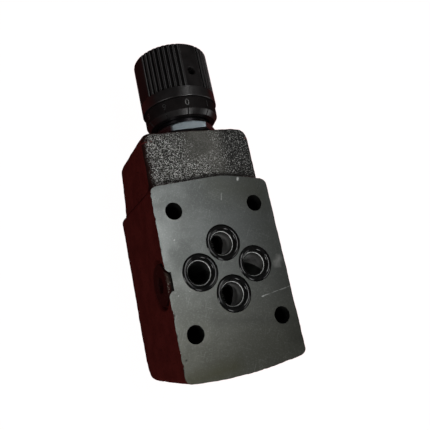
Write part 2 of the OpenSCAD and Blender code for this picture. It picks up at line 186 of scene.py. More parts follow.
def from_nearest(angle, start, pitch):
    """Signed angle from the nearest of the directions that follow a start one pitch apart."""
    return (angle - start + pitch / 2) % pitch - pitch / 2


def full_turn(count):
    """Equal angles round a full circle, as one row."""
    return np.linspace(0, TURN, count, endpoint=False)[None]


def lattice_noise(points, cell, seed):
    """Noise in -1 to 1: random values on a cubic lattice of the given cell, blended by 3t^2 - 2t^3."""
    table = np.random.default_rng(seed).uniform(-1, 1, NOISE_VALUES)
    scaled = points / cell
    low = np.floor(scaled).astype(np.int64)
    blend = ease(scaled - low, 0, 1)
    total = np.zeros(points.shape[:-1])
    for corner in np.ndindex(2, 2, 2):
        key = np.bitwise_xor.reduce((low + corner) * NOISE_PRIMES, axis=-1)
        total += table[key % NOISE_VALUES] * np.prod(np.where(corner, blend, 1 - blend), axis=-1)
    return total


def rounded_profile(corners, steps=6):
    """Profile through (radius, station, fillet) corners, with an arc tangent to both legs at each inner one.

    A guard point lies just before and after each arc, so that flat faces stay flat in smooth shading.
    """
    corners = np.array(corners, float)
    parts = [corners[:1, :2]]
    for before, here, after in zip(corners[:-2], corners[1:-1], corners[2:]):
        fillet = here[2]
        if fillet == 0:
            parts.append(here[None, :2])
            continue
        back = unit(before[:2] - here[:2])
        ahead = unit(after[:2] - here[:2])
        half = math.acos(np.clip(back @ ahead, -1, 1)) / 2
        reach = fillet / math.tan(half)
        centre = here[:2] + unit(back + ahead) * fillet / math.sin(half)
        start = here[:2] + back * reach - centre
        end = here[:2] + ahead * reach - centre
        first = math.atan2(start[1], start[0])
        sweep = from_nearest(math.atan2(end[1], end[0]), first, TURN)
        angles = first + sweep * np.linspace(0, 1, steps + 1)
        arc = centre + fillet * np.stack([np.cos(angles), np.sin(angles)], axis=1)
        guard = GUARD_SHARE * fillet
        parts.append(np.vstack([arc[:1] + back * guard, arc, arc[-1:] + ahead * guard]))
    parts.append(corners[-1:, :2])
    return np.vstack(parts)


def turned(profile, columns):
    """A (radius, station) profile carried round: the radius, station and angle of every point, as grids."""
    angle = full_turn(columns) + 0 * profile[:, :1]
    return profile[:, :1] + 0 * angle, profile[:, 1:] + 0 * angle, angle


def on_valve_axis(radius, station, angle):
    """Points about the valve axis: x = radius sin angle, y = station, z = axis + radius cos angle."""
    radius, station, angle = np.broadcast_arrays(radius, station, angle)
    return np.stack([radius * np.sin(angle), station, AXIS_Z + radius * np.cos(angle)], axis=-1)


def angle_of(points):
    """Angle of each point about the valve axis."""
    return np.arctan2(points[:, 0], points[:, 2] - AXIS_Z)


def radius_of(points):
    """Distance of each point from the valve axis."""
    return np.linalg.norm(points[:, ::2] - (0, AXIS_Z), axis=1)


def hexagon_radius(angle, half, turn, corner_r):
    """Radius of a hexagon: half / cos of the angle from the nearest flat, with rounded corners."""
    sixth = math.pi / 3
    flat = half / np.cos(from_nearest(angle, turn, sixth))
    corner = half / math.cos(sixth / 2) - corner_r * (1 / math.cos(sixth / 2) - 1)
    return soft_min(flat, np.full_like(flat, corner), corner_r / 3)


# Pieces
def mesh_from_arrays(name, points, faces):
    """A mesh in metres from points in millimetres, with doubles merged and faces turned outward."""
    points = np.asarray(points, float).reshape(-1, 3)
    mesh = bpy.data.meshes.new(name)
    mesh.vertices.add(len(points))
    mesh.vertices.foreach_set("co", (points * MM).ravel())
    mesh.loops.add(faces.size)
    mesh.loops.foreach_set("vertex_index", faces.ravel())
    mesh.polygons.add(len(faces))
    mesh.polygons.foreach_set("loop_start", np.arange(0, faces.size, faces.shape[1]))
    mesh.update(calc_edges=True)
    merge_doubles(mesh, outward=True)
    return mesh


def shell(name, points):
    """A mesh from a grid of points whose columns close: (row, column) is point row * columns + column."""
    rows, columns = points.shape[:2]
    row, column = np.meshgrid(np.arange(rows - 1), np.arange(columns), indexing="ij")
    after = (column + 1) % columns
    low = row * columns
    high = low + columns
    quads = np.stack([low + column, low + after, high + after, high + column], axis=-1).reshape(-1, 4)
    return mesh_from_arrays(name, points, quads)


def turned_shell(name, profile, columns, cut):
    """A profile turned about the valve axis, its radius cut by a function of angle, radius and station."""
    radius, station, angle = turned(profile, columns)
    return shell(name, on_valve_axis(cut(angle, radius, station), station, angle))


def merge_doubles(mesh, outward=False):
    """Joins points that lie on each other and, if asked, turns a closed shell's faces outward."""
    work = bmesh.new()
    work.from_mesh(mesh)
    bmesh.ops.remove_doubles(work, verts=work.verts, dist=1e-4 * MM)
    bmesh.ops.dissolve_degenerate(work, edges=work.edges, dist=1e-5 * MM)
    if outward:
        bmesh.ops.recalc_face_normals(work, faces=work.faces)
    work.to_mesh(mesh)
    work.free()


def add_object(name, data):
    """A new object in the scene, at the origin."""
    thing = bpy.data.objects.new(name, data)
    bpy.context.scene.collection.objects.link(thing)
    return thing


def place(name, mesh, materials, body, stands_for, crease=35):
    """Puts a mesh into the scene as a piece, smooth up to the crease angle, on a body if one is named."""
    mesh.polygons.foreach_set("use_smooth", np.ones(len(mesh.polygons), bool))
    mesh.set_sharp_from_angle(angle=math.radians(crease))
    piece = add_object(name, mesh)
    for material in materials:
        mesh.materials.append(material)
    if body:
        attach(piece, body)
    if stands_for:
        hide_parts(*stands_for)
    return piece


def final_mesh(thing):
    """What an object comes to as a mesh, after its modifiers."""
    bpy.context.view_layer.update()
    return bpy.data.meshes.new_from_object(thing.evaluated_get(bpy.context.evaluated_depsgraph_get()))


def carve(mesh, tool, operation):
    """The mesh after a boolean with a second mesh."""
    target = add_object("carve_target", mesh)
    cutter = add_object("carve_tool", tool)
    step = target.modifiers.new("carve", "BOOLEAN")
    step.object = cutter
    step.operation = operation
    step.solver = "MANIFOLD"
    result = final_mesh(target)
    bpy.data.objects.remove(target)
    bpy.data.objects.remove(cutter)
    return result


def store(mesh, name, values):
    """Keeps one value per point on the mesh, for its material to read."""
    layer = mesh.attributes.new(name, "FLOAT", "POINT")
    layer.data.foreach_set("value", np.asarray(values, np.float32).ravel())


def read(items, key):
    """Three numbers for each of a mesh's points or faces."""
    flat = np.empty(len(items) * 3)
    items.foreach_get(key, flat)
    return flat.reshape(-1, 3)


def points_of(mesh):
    """The mesh's points, in millimetres."""
    return read(mesh.vertices, "co") / MM


def centres_of(mesh):
    """The middles of the mesh's faces, in millimetres."""
    return read(mesh.polygons, "center") / MM


# Materials
FLOAT = "NodeSocketFloat"
VECTOR = "NodeSocketVector"


class Recipe:
    """Adds nodes to one node tree. A socket given to a socket is linked to it, and a value is set on it."""

    def __init__(self, tree):
        self.tree = tree

    def put(self, socket, value):
        if isinstance(value, bpy.types.NodeSocket):
            self.tree.links.new(value, socket)
        elif value is not None:
            socket.default_value = (*value, 1) if socket.type == "RGBA" else value

    def node(self, kind, *values, **settings):
        made = self.tree.nodes.new(kind)
        for key, value in settings.items():
            setattr(made, key, value)
        for socket, value in zip(made.inputs, values):
            self.put(socket, value)
        return made

    def math(self, operation, a, b=None, c=None):
        return self.node("ShaderNodeMath", a, b, c, operation=operation).outputs[0]

    def times(self, a, b):
        return self.math("MULTIPLY", a, b)

    def vector(self, operation, a, b=None, result=0):
        return self.node("ShaderNodeVectorMath", a, b, operation=operation).outputs[result]

    def scaled(self, vector, factor):
        made = self.node("ShaderNodeVectorMath", vector, operation="SCALE")
        self.put(made.inputs["Scale"], factor)
        return made.outputs[0]

    def noise(self, at, cell, detail=2.0, roughness=0.5):
        made = self.node("ShaderNodeTexNoise")
        self.put(made.inputs["Vector"], at)
        made.inputs["Scale"].default_value = 1 / cell
        made.inputs["Detail"].default_value = detail
        made.inputs["Roughness"].default_value = roughness
        return made.outputs["Fac"]

    def span(self, value, low, high, to_low=0.0, to_high=1.0):
        made = self.node("ShaderNodeMapRange", value, low, high, to_low, to_high)
        made.interpolation_type = "SMOOTHSTEP"
        return made.outputs[0]

    def blend(self, share, a, b):
        made = self.node("ShaderNodeMix", data_type="RGBA")
        for number, value in ((0, share), (6, a), (7, b)):
            self.put(made.inputs[number], value)
        return made.outputs[2]

    def use(self, group, **values):
        made = self.node("ShaderNodeGroup")
        made.node_tree = group
        for key, value in values.items():
            self.put(made.inputs[key], value)
        return made.outputs


def effect(name, inputs, outputs):
    """An empty node group with named sockets: its recipe, what it is given and what it puts out."""
    tree = bpy.data.node_groups.new(name, "ShaderNodeTree")
    for side, sockets in (("INPUT", inputs), ("OUTPUT", outputs)):
        for label, kind in sockets.items():
            tree.interface.new_socket(name=label, in_out=side, socket_type=kind)
    recipe = Recipe(tree)
    return recipe, recipe.node("NodeGroupInput").outputs, recipe.node("NodeGroupOutput").inputs


def make_line_mark():
    """Mask of a stroke: 1 on the line from start to end, fading to 0 at a width from it, broken by noise."""
    given_kinds = {"At": VECTOR, "Start": VECTOR, "End": VECTOR, "Width": FLOAT, "Breaks": FLOAT}
    r, given, out = effect("line_mark", given_kinds, {"Mask": FLOAT})
    run = r.vector("SUBTRACT", given["End"], given["Start"])
    off = r.vector("SUBTRACT", given["At"], given["Start"])
    along = r.math("DIVIDE", r.vector("DOT_PRODUCT", off, run, 1), r.vector("DOT_PRODUCT", run, run, 1))
    along = r.node("ShaderNodeClamp", along).outputs[0]
    distance = r.vector("DISTANCE", off, r.scaled(run, along), 1)
    wander = r.times(r.math("SUBTRACT", r.noise(given["At"], 1.7), 0.5), given["Breaks"])
    away = r.node("ShaderNodeMapRange", r.math("ADD", distance, wander), 0.0, given["Width"]).outputs[0]
    r.put(out["Mask"], r.math("SUBTRACT", 1.0, away))
    return r.tree


def make_fine_grain():
    """Sandy grain: a height of two noise sizes, and a mask of the grains that stand out and catch light."""
    r, given, out = effect("fine_grain", {"At": VECTOR, "Cell": FLOAT}, {"Height": FLOAT, "Glints": FLOAT})
    at = r.scaled(given["At"], r.math("DIVIDE", 1.0, given["Cell"]))
    coarse = r.noise(at, 1.0, 3.0, 0.6)
    fine = r.noise(at, 0.5)
    height = r.math("ADD", r.times(coarse, 0.6), r.times(fine, 0.4))
    r.put(out["Height"], height)
    r.put(out["Glints"], r.span(height, 0.52, 0.62))
    return r.tree


def make_cloudy():
    """Slow blotches: a broad noise, stretched to the full 0 to 1."""
    r, given, out = effect("cloudy", {"At": VECTOR, "Cell": FLOAT}, {"Value": FLOAT})
    at = r.scaled(given["At"], r.math("DIVIDE", 1.0, given["Cell"]))
    r.put(out["Value"], r.span(r.noise(at, 1.0, 4.0, 0.55), 0.32, 0.68))
    return r.tree


def make_hair_scratches():
    """Mask of fine straight scratches in two directions: noise drawn out along each, cut to its peaks."""
    r, given, out = effect("hair_scratches", {"At": VECTOR, "Amount": FLOAT}, {"Mask": FLOAT})
    masks = []
    for turn, stretch in ((math.radians(24), 0.035), (math.radians(-61), 0.05)):
        turned_at = r.node("ShaderNodeVectorRotate", given["At"], rotation_type="Z_AXIS")
        turned_at.inputs["Angle"].default_value = turn
        drawn = r.vector("MULTIPLY", turned_at.outputs[0], (stretch, 1.0, 1.0))
        patches = r.span(r.noise(given["At"], 7.0), 0.42, 0.62)
        masks.append(r.times(r.span(r.noise(drawn, 0.24, 1.0), 0.66, 0.74), patches))
    r.put(out["Mask"], r.times(r.math("MAXIMUM", *masks), given["Amount"]))
    return r.tree


LINE_MARK = make_line_mark()
FINE_GRAIN = make_fine_grain()
CLOUDY = make_cloudy()
HAIR_SCRATCHES = make_hair_scratches()


class Finish(Recipe):
    """The recipe of one material with a Principled surface; at is the place on it, in millimetres."""

    def __init__(self, name):
        self.material = bpy.data.materials.new(name)
        self.material.use_nodes = True
        super().__init__(self.material.node_tree)
        self.tree.nodes.clear()
        self.shader = self.node("ShaderNodeBsdfPrincipled")
        self.node("ShaderNodeOutputMaterial", self.shader.outputs[0])
        self.at = self.vector("MULTIPLY", self.node("ShaderNodeTexCoord").outputs["Object"], (1 / MM,) * 3)

    def axes(self):
        return self.node("ShaderNodeSeparateXYZ", self.at).outputs

    def stored(self, name):
        return self.node("ShaderNodeAttribute", attribute_name=name).outputs["Fac"]

    def clouds(self, cell):
        return self.use(CLOUDY, At=self.at, Cell=cell)["Value"]

    def scratches(self, amount):
        return self.use(HAIR_SCRATCHES, At=self.at, Amount=amount)["Mask"]

    def stroke(self, start, end, width, breaks):
        return self.use(LINE_MARK, At=self.at, Start=start, End=end, Width=width, Breaks=breaks)["Mask"]

    def drawn_noise(self, stretch, cell):
        return self.noise(self.vector("MULTIPLY", self.at, stretch), cell)

    def bump(self, height, distance, strength):
        made = self.node("ShaderNodeBump")
        made.inputs["Strength"].default_value = strength
        made.inputs["Distance"].default_value = distance * MM
        self.put(made.inputs["Height"], height)
        return made.outputs["Normal"]

    def coat(self, mask, tone):
        """Lays a tone over the colour so far, where a mask is 1."""
        self.colour = self.blend(mask, self.colour, tone)

    def done(self, rough, metal=0.0, shine=0.5, normal=None):
        """Sets the surface's colour, roughness, metal, specular level and normal, and gives the material."""
        names = ("Base Color", "Roughness", "Metallic", "Specular IOR Level", "Normal")
        for name, value in zip(names, (self.colour, rough, metal, shine, normal)):
            self.put(self.shader.inputs[name], value)
        return self.material


def make_ground_iron():
    """Ground, phosphated iron of the two faces: grey-green, mottled, scratched, smeared and speckled, with
    painted shade as broad dark strokes down the port face's right side and along its bottom.

    Each mark on the port face has its two ends in X and Y, width, brokenness, strength and colour.
    """
    pale = (0.30, 0.31, 0.30)
    marks = (
        ((10.2, -11.55), (22.6, -9.9), 0.20, 0.9, 0.8, pale),
        # Painted shade: broad dark stroke down the port face's right side
        ((17.0, 32.0), (24.0, -26.0), 11.0, 3.0, 0.42, (0.026, 0.027, 0.022)),
        ((-18.0, 2.0), (-15.0, 17.0), 8.0, 5.0, 0.32, (0.030, 0.032, 0.030)),
        # Painted shade: broad dark stroke along the port face's bottom
        ((-19.0, -31.0), (23.0, -28.0), 10.0, 4.0, 0.36, (0.028, 0.029, 0.022)),
        ((-20.5, -32.5), (-5.0, -31.5), 4.2, 3.0, 0.60, (0.034, 0.034, 0.017)),
        ((3.0, 29.0), (18.0, 25.0), 9.0, 5.0, 0.30, (0.044, 0.045, 0.027)),
        ((2.8, 23.9), (3.4, 26.1), 0.34, 1.3, 0.45, (0.28, 0.29, 0.28)),
        ((10.9, 30.6), (11.2, 31.2), 0.6, 0.4, 0.9, (0.42, 0.43, 0.42)),
        ((18.9, -1.4), (20.4, 0.4), 2.0, 2.6, 0.50, (0.22, 0.22, 0.21)),
        ((-8.9, -16.4), (19.4, -20.9), 2.4, 2.0, 0.30, (0.030, 0.031, 0.028)),
        ((-17.4, 11.7), (-17.2, 11.8), 0.22, 0.2, 0.5, pale),
        ((-19.6, -6.3), (-19.4, -6.2), 0.20, 0.2, 0.4, pale),
        ((-15.5, -5.4), (-15.3, -5.5), 0.20, 0.2, 0.4, pale),
        ((-21.0, -26.0), (-20.8, -25.9), 0.42, 0.2, 1.0, (0.006, 0.006, 0.006)),
    )
    r = Finish("ground_iron")
    blotches = r.clouds(9.0)
    grain = r.use(FINE_GRAIN, At=r.at, Cell=0.8)
    scratches = r.scratches(0.8)
    down = r.span(r.axes()["Y"], -34.0, 12.0, 1.0, 0.0)
    cool = r.blend(blotches, (0.050, 0.054, 0.052), (0.068, 0.073, 0.071))
    warm = r.blend(blotches, (0.051, 0.052, 0.043), (0.067, 0.068, 0.057))
    r.colour = r.blend(down, cool, warm)
    r.coat(r.times(grain["Glints"], 0.18), (0.16, 0.17, 0.16))
    r.coat(r.times(scratches, 0.35), (0.20, 0.21, 0.20))
    for start, end, width, breaks, strength, tone in marks:
        mask = r.stroke((*start, FACE_Z), (*end, FACE_Z), width, breaks)
        r.coat(r.times(mask, strength), tone)
    rough = r.math("ADD", r.span(blotches, 0.0, 1.0, 0.35, 0.29), r.times(grain["Height"], 0.08))
    height = r.math("SUBTRACT", grain["Height"], r.times(scratches, 0.6))
    return r.done(rough, metal=0.8, normal=r.bump(height, 0.02, 0.35))


def make_bare_iron():
    """Bright bare iron where a tool broke a sharp edge last, with a few dull spots."""
    r = Finish("bare_iron")
    dull = r.span(r.noise(r.at, 0.8), 0.5, 0.68)
    r.colour = r.blend(dull, (0.48, 0.49, 0.48), (0.26, 0.265, 0.26))
    return r.done(r.span(dull, 0.0, 1.0, 0.45, 0.6), metal=0.3)


def make_oiled_iron():
    """Dark phosphate under a film of oil, in the counterbores and bolt holes: faint grain and patches."""
    r = Finish("oiled_iron")
    patches = r.clouds(2.5)
    r.colour = r.blend(patches, (0.0040, 0.0040, 0.0036), (0.0085, 0.0085, 0.0076))
    rough = r.span(patches, 0.0, 1.0, 0.42, 0.56)
    return r.done(rough, 0.2, 0.12, r.bump(r.noise(r.at, 0.3), 0.01, 0.4))


def make_drilled_iron():
    """Drilled wall of the ports: rings left by the drill, darker at the mouth and painted paler below as
    painted light, and a near-black painted shadow.

    The painted shadow fills port T to the brim and starts some way down in the others. Its edge slopes along
    Y, one way in A and B about each port's middle, and the other way in P.
    """
    r = Finish("drilled_iron")
    at = r.axes()
    depth = r.math("SUBTRACT", FACE_Z - SEAL_BORE_DEPTH, at["Z"])
    slope_p = r.times(r.span(at["X"], 5.0, 6.5), r.math("MULTIPLY_ADD", at["Y"], 2.2, -1.4))
    past_middle = r.math("MULTIPLY_ADD", r.math("SIGN", at["Y"]), -PORTS[0, 1], at["Y"])
    slope_ab = r.times(past_middle, r.span(r.math("ABSOLUTE", at["X"]), 4.0, 5.5, -0.9, 0.0))
    level = r.math("ADD", r.span(at["X"], -6.5, -4.0, -1.0, 7.2), slope_p)
    level = r.math("ADD", level, slope_ab)
    # Painted shadow: the mask of the wall below the sloping edge
    oily = r.span(r.math("SUBTRACT", depth, level), -0.12, 0.12)
    deep = r.span(depth, 1.0, 7.0)
    rings = r.drawn_noise((0.08, 0.08, 1.0), 0.3)
    r.colour = r.blend(r.clouds(2.0), (0.018, 0.018, 0.017), (0.032, 0.032, 0.030))
    # Painted light: the wall is painted paler with depth, less so in port P
    pale = r.times(deep, r.span(at["X"], 5.0, 6.5, 1.0, 0.45))
    r.coat(pale, (0.46, 0.46, 0.45))
    r.coat(r.span(rings, 0.5, 0.7, 0.0, 0.3), (0.03, 0.03, 0.029))
    # The painted shadow's tone, a little less dark deep down
    oil = r.blend(deep, (0.0016, 0.0016, 0.0015), (0.011, 0.0115, 0.0105))
    r.coat(oily, oil)
    return r.done(r.span(rings, 0.3, 0.7, 0.5, 0.65), 0.1, 0.15, r.bump(rings, 0.02, 0.5))


def make_cast_iron(name, shine):
    """As-cast iron: sandy and glinting on the boss's front, dark and dull round the sides, whose maroon tint
    is painted reflection of red surroundings.

    Stored values: front is 1 where the skin faces the port side and picks the front's grey over the sides'
    painted maroon, sparkle is the strength of the grain and its painted glints there, turn is 1 on the
    rounded edges round the front, which painted shade darkens, and the value for the corner under the step
    is 1 there, where painted shade darkens the skin. Painted shade lines the edge where the spot face breaks
    into the port face.
    """
    r = Finish(name)
    front = r.stored("front")
    sparkle = r.stored("sparkle")
    sandy = r.times(front, sparkle)
    grain = r.use(FINE_GRAIN, At=r.at, Cell=0.5)
    blotches = r.clouds(6.0)
    across = r.axes()["X"]
    # The sides' maroon is painted reflection of red surroundings on dark iron
    dull = r.blend(blotches, (0.053, 0.0084, 0.0073), (0.069, 0.0111, 0.0096))
    dull = r.blend(r.span(r.noise(r.at, 0.9), 0.30, 0.42, 0.5, 0.0), dull, (0.016, 0.0025, 0.0022))
    lit = r.blend(blotches, (0.062, 0.061, 0.054), (0.084, 0.082, 0.073))
    # Painted shade: the boss's front darkens toward its right; the next line darkens it toward its left
    lit = r.blend(r.span(across, 5.0, 12.0, 0.0, 0.97), lit, (0.0035, 0.0033, 0.0028))
    lit = r.blend(r.span(across, -9.0, -1.0, 0.62, 0.0), lit, (0.018, 0.0175, 0.016))
    r.colour = r.blend(front, dull, lit)
    # Painted shade on the rounded edges round the front
    r.coat(r.times(r.stored("turn"), 0.9), (0.0070, 0.0045, 0.0038))
    glints = r.times(grain["Glints"], sandy)
    r.coat(glints, (0.42, 0.42, 0.40))
    # Near-white flecks are painted glints, strongest at the left of the boss's front
    glint_flecks = r.times(r.span(r.noise(r.at, 0.40, 1.0), 0.60, 0.70), front)
    glint_flecks = r.times(glint_flecks, r.span(sparkle, 0.15, 0.20, 0.02, 0.36))
    glint_flecks = r.times(glint_flecks, r.span(sparkle, 0.3, 1.0, 1.0, 2.2))
    r.coat(glint_flecks, (0.86, 0.86, 0.83))
    hollows = r.times(r.span(grain["Height"], 0.42, 0.51, 1.0, 0.0), sandy)
    r.coat(hollows, (0.003, 0.0028, 0.0026))
    # Painted shade in the corner under the step
    r.coat(r.times(r.stored("step_shade"), 0.9), (0.004, 0.0025, 0.0022))
    # Painted shade along the edge where the spot face breaks into the port face
    ends = [(SPOT_FLOOR_X, SPOT_Y + side, FACE_Z) for side in (-3.0, 3.0)]
    gap_shade = r.span(r.stroke(*ends, 2.4, 1.0), 0.1, 0.5, 0.0, 0.95)
    r.coat(gap_shade, (0.0030, 0.0022, 0.0018))
    rough = r.math("SUBTRACT", 0.78, r.times(glints, 0.35))
    relief = r.times(grain["Height"], r.span(sparkle, 0.1, 0.5, 0.45, 1.0))
    return r.done(rough, r.times(front, 0.35), shine, r.bump(relief, 0.3, 0.9))


def make_black_moulding(name, shine, rough):
    """Black moulded plastic with a fine skin texture and faint scuffs, at one of its degrees of shine.

    Stored values: low is 1 in grooves and cut marks, where painted shade darkens them, and rubbed is 1
    along the ribs' edges, which are lighter from wear and as painted highlight.
    """
    r = Finish("black_moulding_" + name)
    clouds = r.clouds(5.0)
    r.colour = r.blend(clouds, (0.0045, 0.0038, 0.0038), (0.0070, 0.0058, 0.0058))
    r.coat(r.times(r.scratches(0.5), 0.2), (0.04, 0.04, 0.04))
    # Painted shade in grooves and cut marks; the next line lightens rib edges for wear and as painted
    # highlight
    r.coat(r.times(r.stored("low"), 0.7), (0.0015, 0.0015, 0.0015))
    r.coat(r.times(r.stored("rubbed"), 0.8), (0.048, 0.048, 0.048))
    rough = r.span(clouds, 0.0, 1.0, rough - 0.04, rough + 0.04)
    return r.done(rough, 0.0, shine, r.bump(r.noise(r.at, 0.16), 0.015, 0.6))


def make_zinc_plate():
    """Blue-white zinc plate: turned lines round the axis, cloudy sheen, dull spots and painted shade.

    The stored value is 1 where painted shade darkens the neck above the hexagon and the flats other than the
    front one; the plate is glossier there.
    """
    r = Finish("zinc_plate")
    lines = r.drawn_noise((0.05, 1.0, 0.05), 0.22)
    spots = r.span(r.noise(r.at, 0.9), 0.64, 0.72)
    painted_shade = r.stored("painted_shade")
    r.colour = r.blend(r.clouds(4.0), (0.108, 0.130, 0.142), (0.145, 0.169, 0.181))
    r.coat(r.times(spots, 0.4), (0.075, 0.086, 0.095))
    # Painted shade on the neck and on all hexagon flats but the front one
    r.coat(painted_shade, (0.020, 0.019, 0.021))
    rough = r.math("SUBTRACT", r.span(lines, 0.3, 0.7, 0.32, 0.46), r.times(painted_shade, 0.12))
    return r.done(rough, metal=0.9, normal=r.bump(lines, 0.02, 0.4))


def make_black_steel():
    """Blackened steel of the side plug: dark oxide with a maroon tint that is painted reflection of red
    surroundings, rubbed in small patches.

    Along the rim near the port face it is crumbly, its pale crumbs both worn spots and painted glints, and
    painted shade darkens it toward its seat.
    """
    r = Finish("black_steel")
    at = r.axes()
    rubbed = r.span(r.noise(r.at, 1.1, 3.0, 0.6), 0.56, 0.72)
    rim = r.span(at["Z"], SPOT_Z + FLANGE_R - 1.6, SPOT_Z + FLANGE_R - 0.5)
    patches = r.span(r.noise(r.at, 1.4), 0.46, 0.60, 0.0, 0.9)
    # Pale crumbs: worn spots that are also painted glints
    crumbs = r.span(r.noise(r.at, 0.6, 1.0), 0.62, 0.70, 0.0, 0.8)
    # Painted shade on the plug's rim toward its seat
    gap_shade = r.span(at["X"], PLUG_LOW[0] + 0.5, SPOT_FLOOR_X - 0.4, 0.0, 0.95)
    # Both tones carry a maroon tint that is painted reflection of red surroundings
    r.colour = r.blend(rubbed, (0.021, 0.0034, 0.0029), (0.029, 0.0095, 0.0088))
    r.coat(r.times(rim, patches), (0.030, 0.022, 0.017))
    r.coat(r.times(rim, crumbs), (0.24, 0.22, 0.195))
    r.coat(r.times(rim, gap_shade), (0.0030, 0.0022, 0.0018))
    rough = r.span(rubbed, 0.0, 1.0, 0.70, 0.50)
    return r.done(rough, 0.1, 0.06, r.bump(r.noise(r.at, 0.3), 0.02, 0.5))


def make_nitrile():
    """Smooth, glossy black nitrile of the O-rings, with a slight bloom."""
    r = Finish("nitrile")
    bloom = r.clouds(1.6)
    r.colour = r.blend(bloom, (0.003, 0.003, 0.003), (0.006, 0.006, 0.006))
    return r.done(r.span(bloom, 0.0, 1.0, 0.06, 0.10), shine=0.23)


def make_bright_steel():
    """Bright turned steel of the inner pieces: fine lines round the axis and a thin oil-dark tint."""
    r = Finish("bright_steel")
    lines = r.drawn_noise((0.04, 1.0, 0.04), 0.18)
    r.colour = r.blend(r.clouds(3.0), (0.40, 0.395, 0.38), (0.56, 0.56, 0.56))
    return r.done(r.span(lines, 0.3, 0.7, 0.18, 0.34), metal=1.0, normal=r.bump(lines, 0.01, 0.4))


def make_ptfe():
    """Waxy white back-up ring, slightly stained by oil."""
    r = Finish("ptfe")
    stain = r.clouds(2.0)
    r.colour = r.blend(stain, (0.70, 0.67, 0.60), (0.82, 0.81, 0.78))
    return r.done(r.span(stain, 0.0, 1.0, 0.42, 0.55))


def make_worn_paint():
    """Pale paint of the scale's numbers, rubbed thin; the stored value kept is how much of it is left."""
    r = Finish("worn_paint")
    rub = r.times(r.span(r.noise(r.at, 0.7, 3.0, 0.6), 0.46, 0.60), r.stored("kept"))
    r.colour = r.blend(rub, (0.008, 0.008, 0.008), (0.12, 0.12, 0.117))
    return r.done(r.span(rub, 0.0, 1.0, 0.4, 0.6))


def make_pale_floor():
    """Plain floor with the faintest paper tooth: white to the eye, dull red in what it reflects."""
    r = Finish("pale_floor")
    seen = r.node("ShaderNodeLightPath").outputs["Is Camera Ray"]
    r.put(r.shader.inputs["Emission Color"], r.blend(seen, (0, 0, 0), (0.99, 0.99, 0.99)))
    r.shader.inputs["Emission Strength"].default_value = 1.0
    r.colour = r.blend(r.noise(r.at, 2.0), (0.128, 0.0150, 0.0130), (0.140, 0.0165, 0.0145))
    return r.done(0.9, shine=0.1)


GROUND_IRON = make_ground_iron()
BARE_IRON = make_bare_iron()
OILED_IRON = make_oiled_iron()
DRILLED_IRON = make_drilled_iron()
CAST_SIDES = make_cast_iron("cast_iron_sides", 0.01)
CAST_FRONT = make_cast_iron("cast_iron_front", 0.26)
MOULDING_SATIN = make_black_moulding("satin", 0.53, 0.32)
MOULDING_BEVEL = make_black_moulding("bevel", 0.26, 0.32)
MOULDING_MATT = make_black_moulding("matt", 0.12, 0.42)
MOULDING_CREST = make_black_moulding("crest", 0.17, 0.42)
MOULDING_WORN = make_black_moulding("worn", 0.80, 0.36)
MOULDING_SHADED = make_black_moulding("shaded", 0.04, 0.50)
ZINC_PLATE = make_zinc_plate()
BLACK_STEEL = make_black_steel()
NITRILE = make_nitrile()
BRIGHT_STEEL = make_bright_steel()
PTFE = make_ptfe()
WORN_PAINT = make_worn_paint()
PALE_FLOOR = make_pale_floor()

# The casting's grid, and its skin as (cell, depth, seed) layers
BLANK_PROUD = 0.6
SECTION_SIDE = 78
SECTION_FRONT = 92
SECTION_BACK = 60
SECTION_ARC = 7
BLOCK_EDGE_R = 0.4
BOSS_BACK_R = 1.2
ROW_STEP = 0.5
CORNER_ROWS = 8
BOSS_CORNER_ROWS = 14
STEP_ROWS = 5
FAR_ROWS = 44
END_ROWS = 40
TOOL_COLUMNS = 96
CROWN_FADE = 15.0
SKIN_LAYERS = ((7.0, 0.09, 11), (2.4, 0.10, 12), (1.0, 0.07, 13))
SKIN_INSET = 0.04
CHIP_DEPTH = 0.75
CHIP_CELL = 1.3
CHIP_BAND = 1.6
CHIP_SEED = 21
ROOF_RISE = 0.95
ROOF_X = 4.0
ROOF_LEFT = 12.0
ROOF_RIGHT = 17.0


def fillet_drop(distance, radius):
    """How far a rounded edge has pulled in, at a distance from the end: r - sqrt(r^2 - (r - d)^2)."""
    short = np.clip(radius - distance, 0, radius)
    return radius - np.sqrt(radius**2 - short**2)


def crown(x):
    """How far the block's ends fall back at a place across it: a parabola, END_CROWN at the sides."""
    return END_CROWN * (x / SIDE_X) ** 2


def section_rows(half, low, high, low_r, high_r):
    """Rounded rectangles in X and Z, one a row: four straight sides and four quarter circles."""
    half, low, high = (np.asarray(v, float)[:, None] for v in (half, low, high))

    def steps(count):
        return np.linspace(0, 1, count, endpoint=False)[None]

    def arc(centre_x, centre_z, radius, start):
        a = math.radians(start) + steps(SECTION_ARC) * QUARTER
        return centre_x + radius * np.cos(a), centre_z + radius * np.sin(a)

    def straight(x0, z0, x1, z1, count):
        return x0 + (x1 - x0) * steps(count), z0 + (z1 - z0) * steps(count)

    sides = [
        straight(low_r - half, low, half - low_r, low, SECTION_BACK),
        arc(half - low_r, low + low_r, low_r, -90),
        straight(half, low + low_r, half, high - high_r, SECTION_SIDE),
        arc(half - high_r, high - high_r, high_r, 0),
        straight(half - high_r, high, high_r - half, high, SECTION_FRONT),
        arc(high_r - half, high - high_r, high_r, 90),
        straight(-half, high - high_r, -half, low + low_r, SECTION_SIDE),
        arc(low_r - half, low + low_r, low_r, 180),
    ]
    x, z = zip(*(np.broadcast_arrays(*side) for side in sides))
    return np.hstack(x), np.hstack(z)


def shrinking_rows(loop, centre, count):
    """Rows that draw a loop in toward a centre in X and Z: each is the loop scaled about it, to nothing."""
    scale = np.linspace(1, 0, count + 1)[1:, None]
    x = centre[0] + (loop[:, 0] - centre[0]) * scale
    z = centre[1] + (loop[:, 2] - centre[1]) * scale
    return np.stack([x, np.broadcast_to(loop[:, 1], x.shape), z], axis=-1)


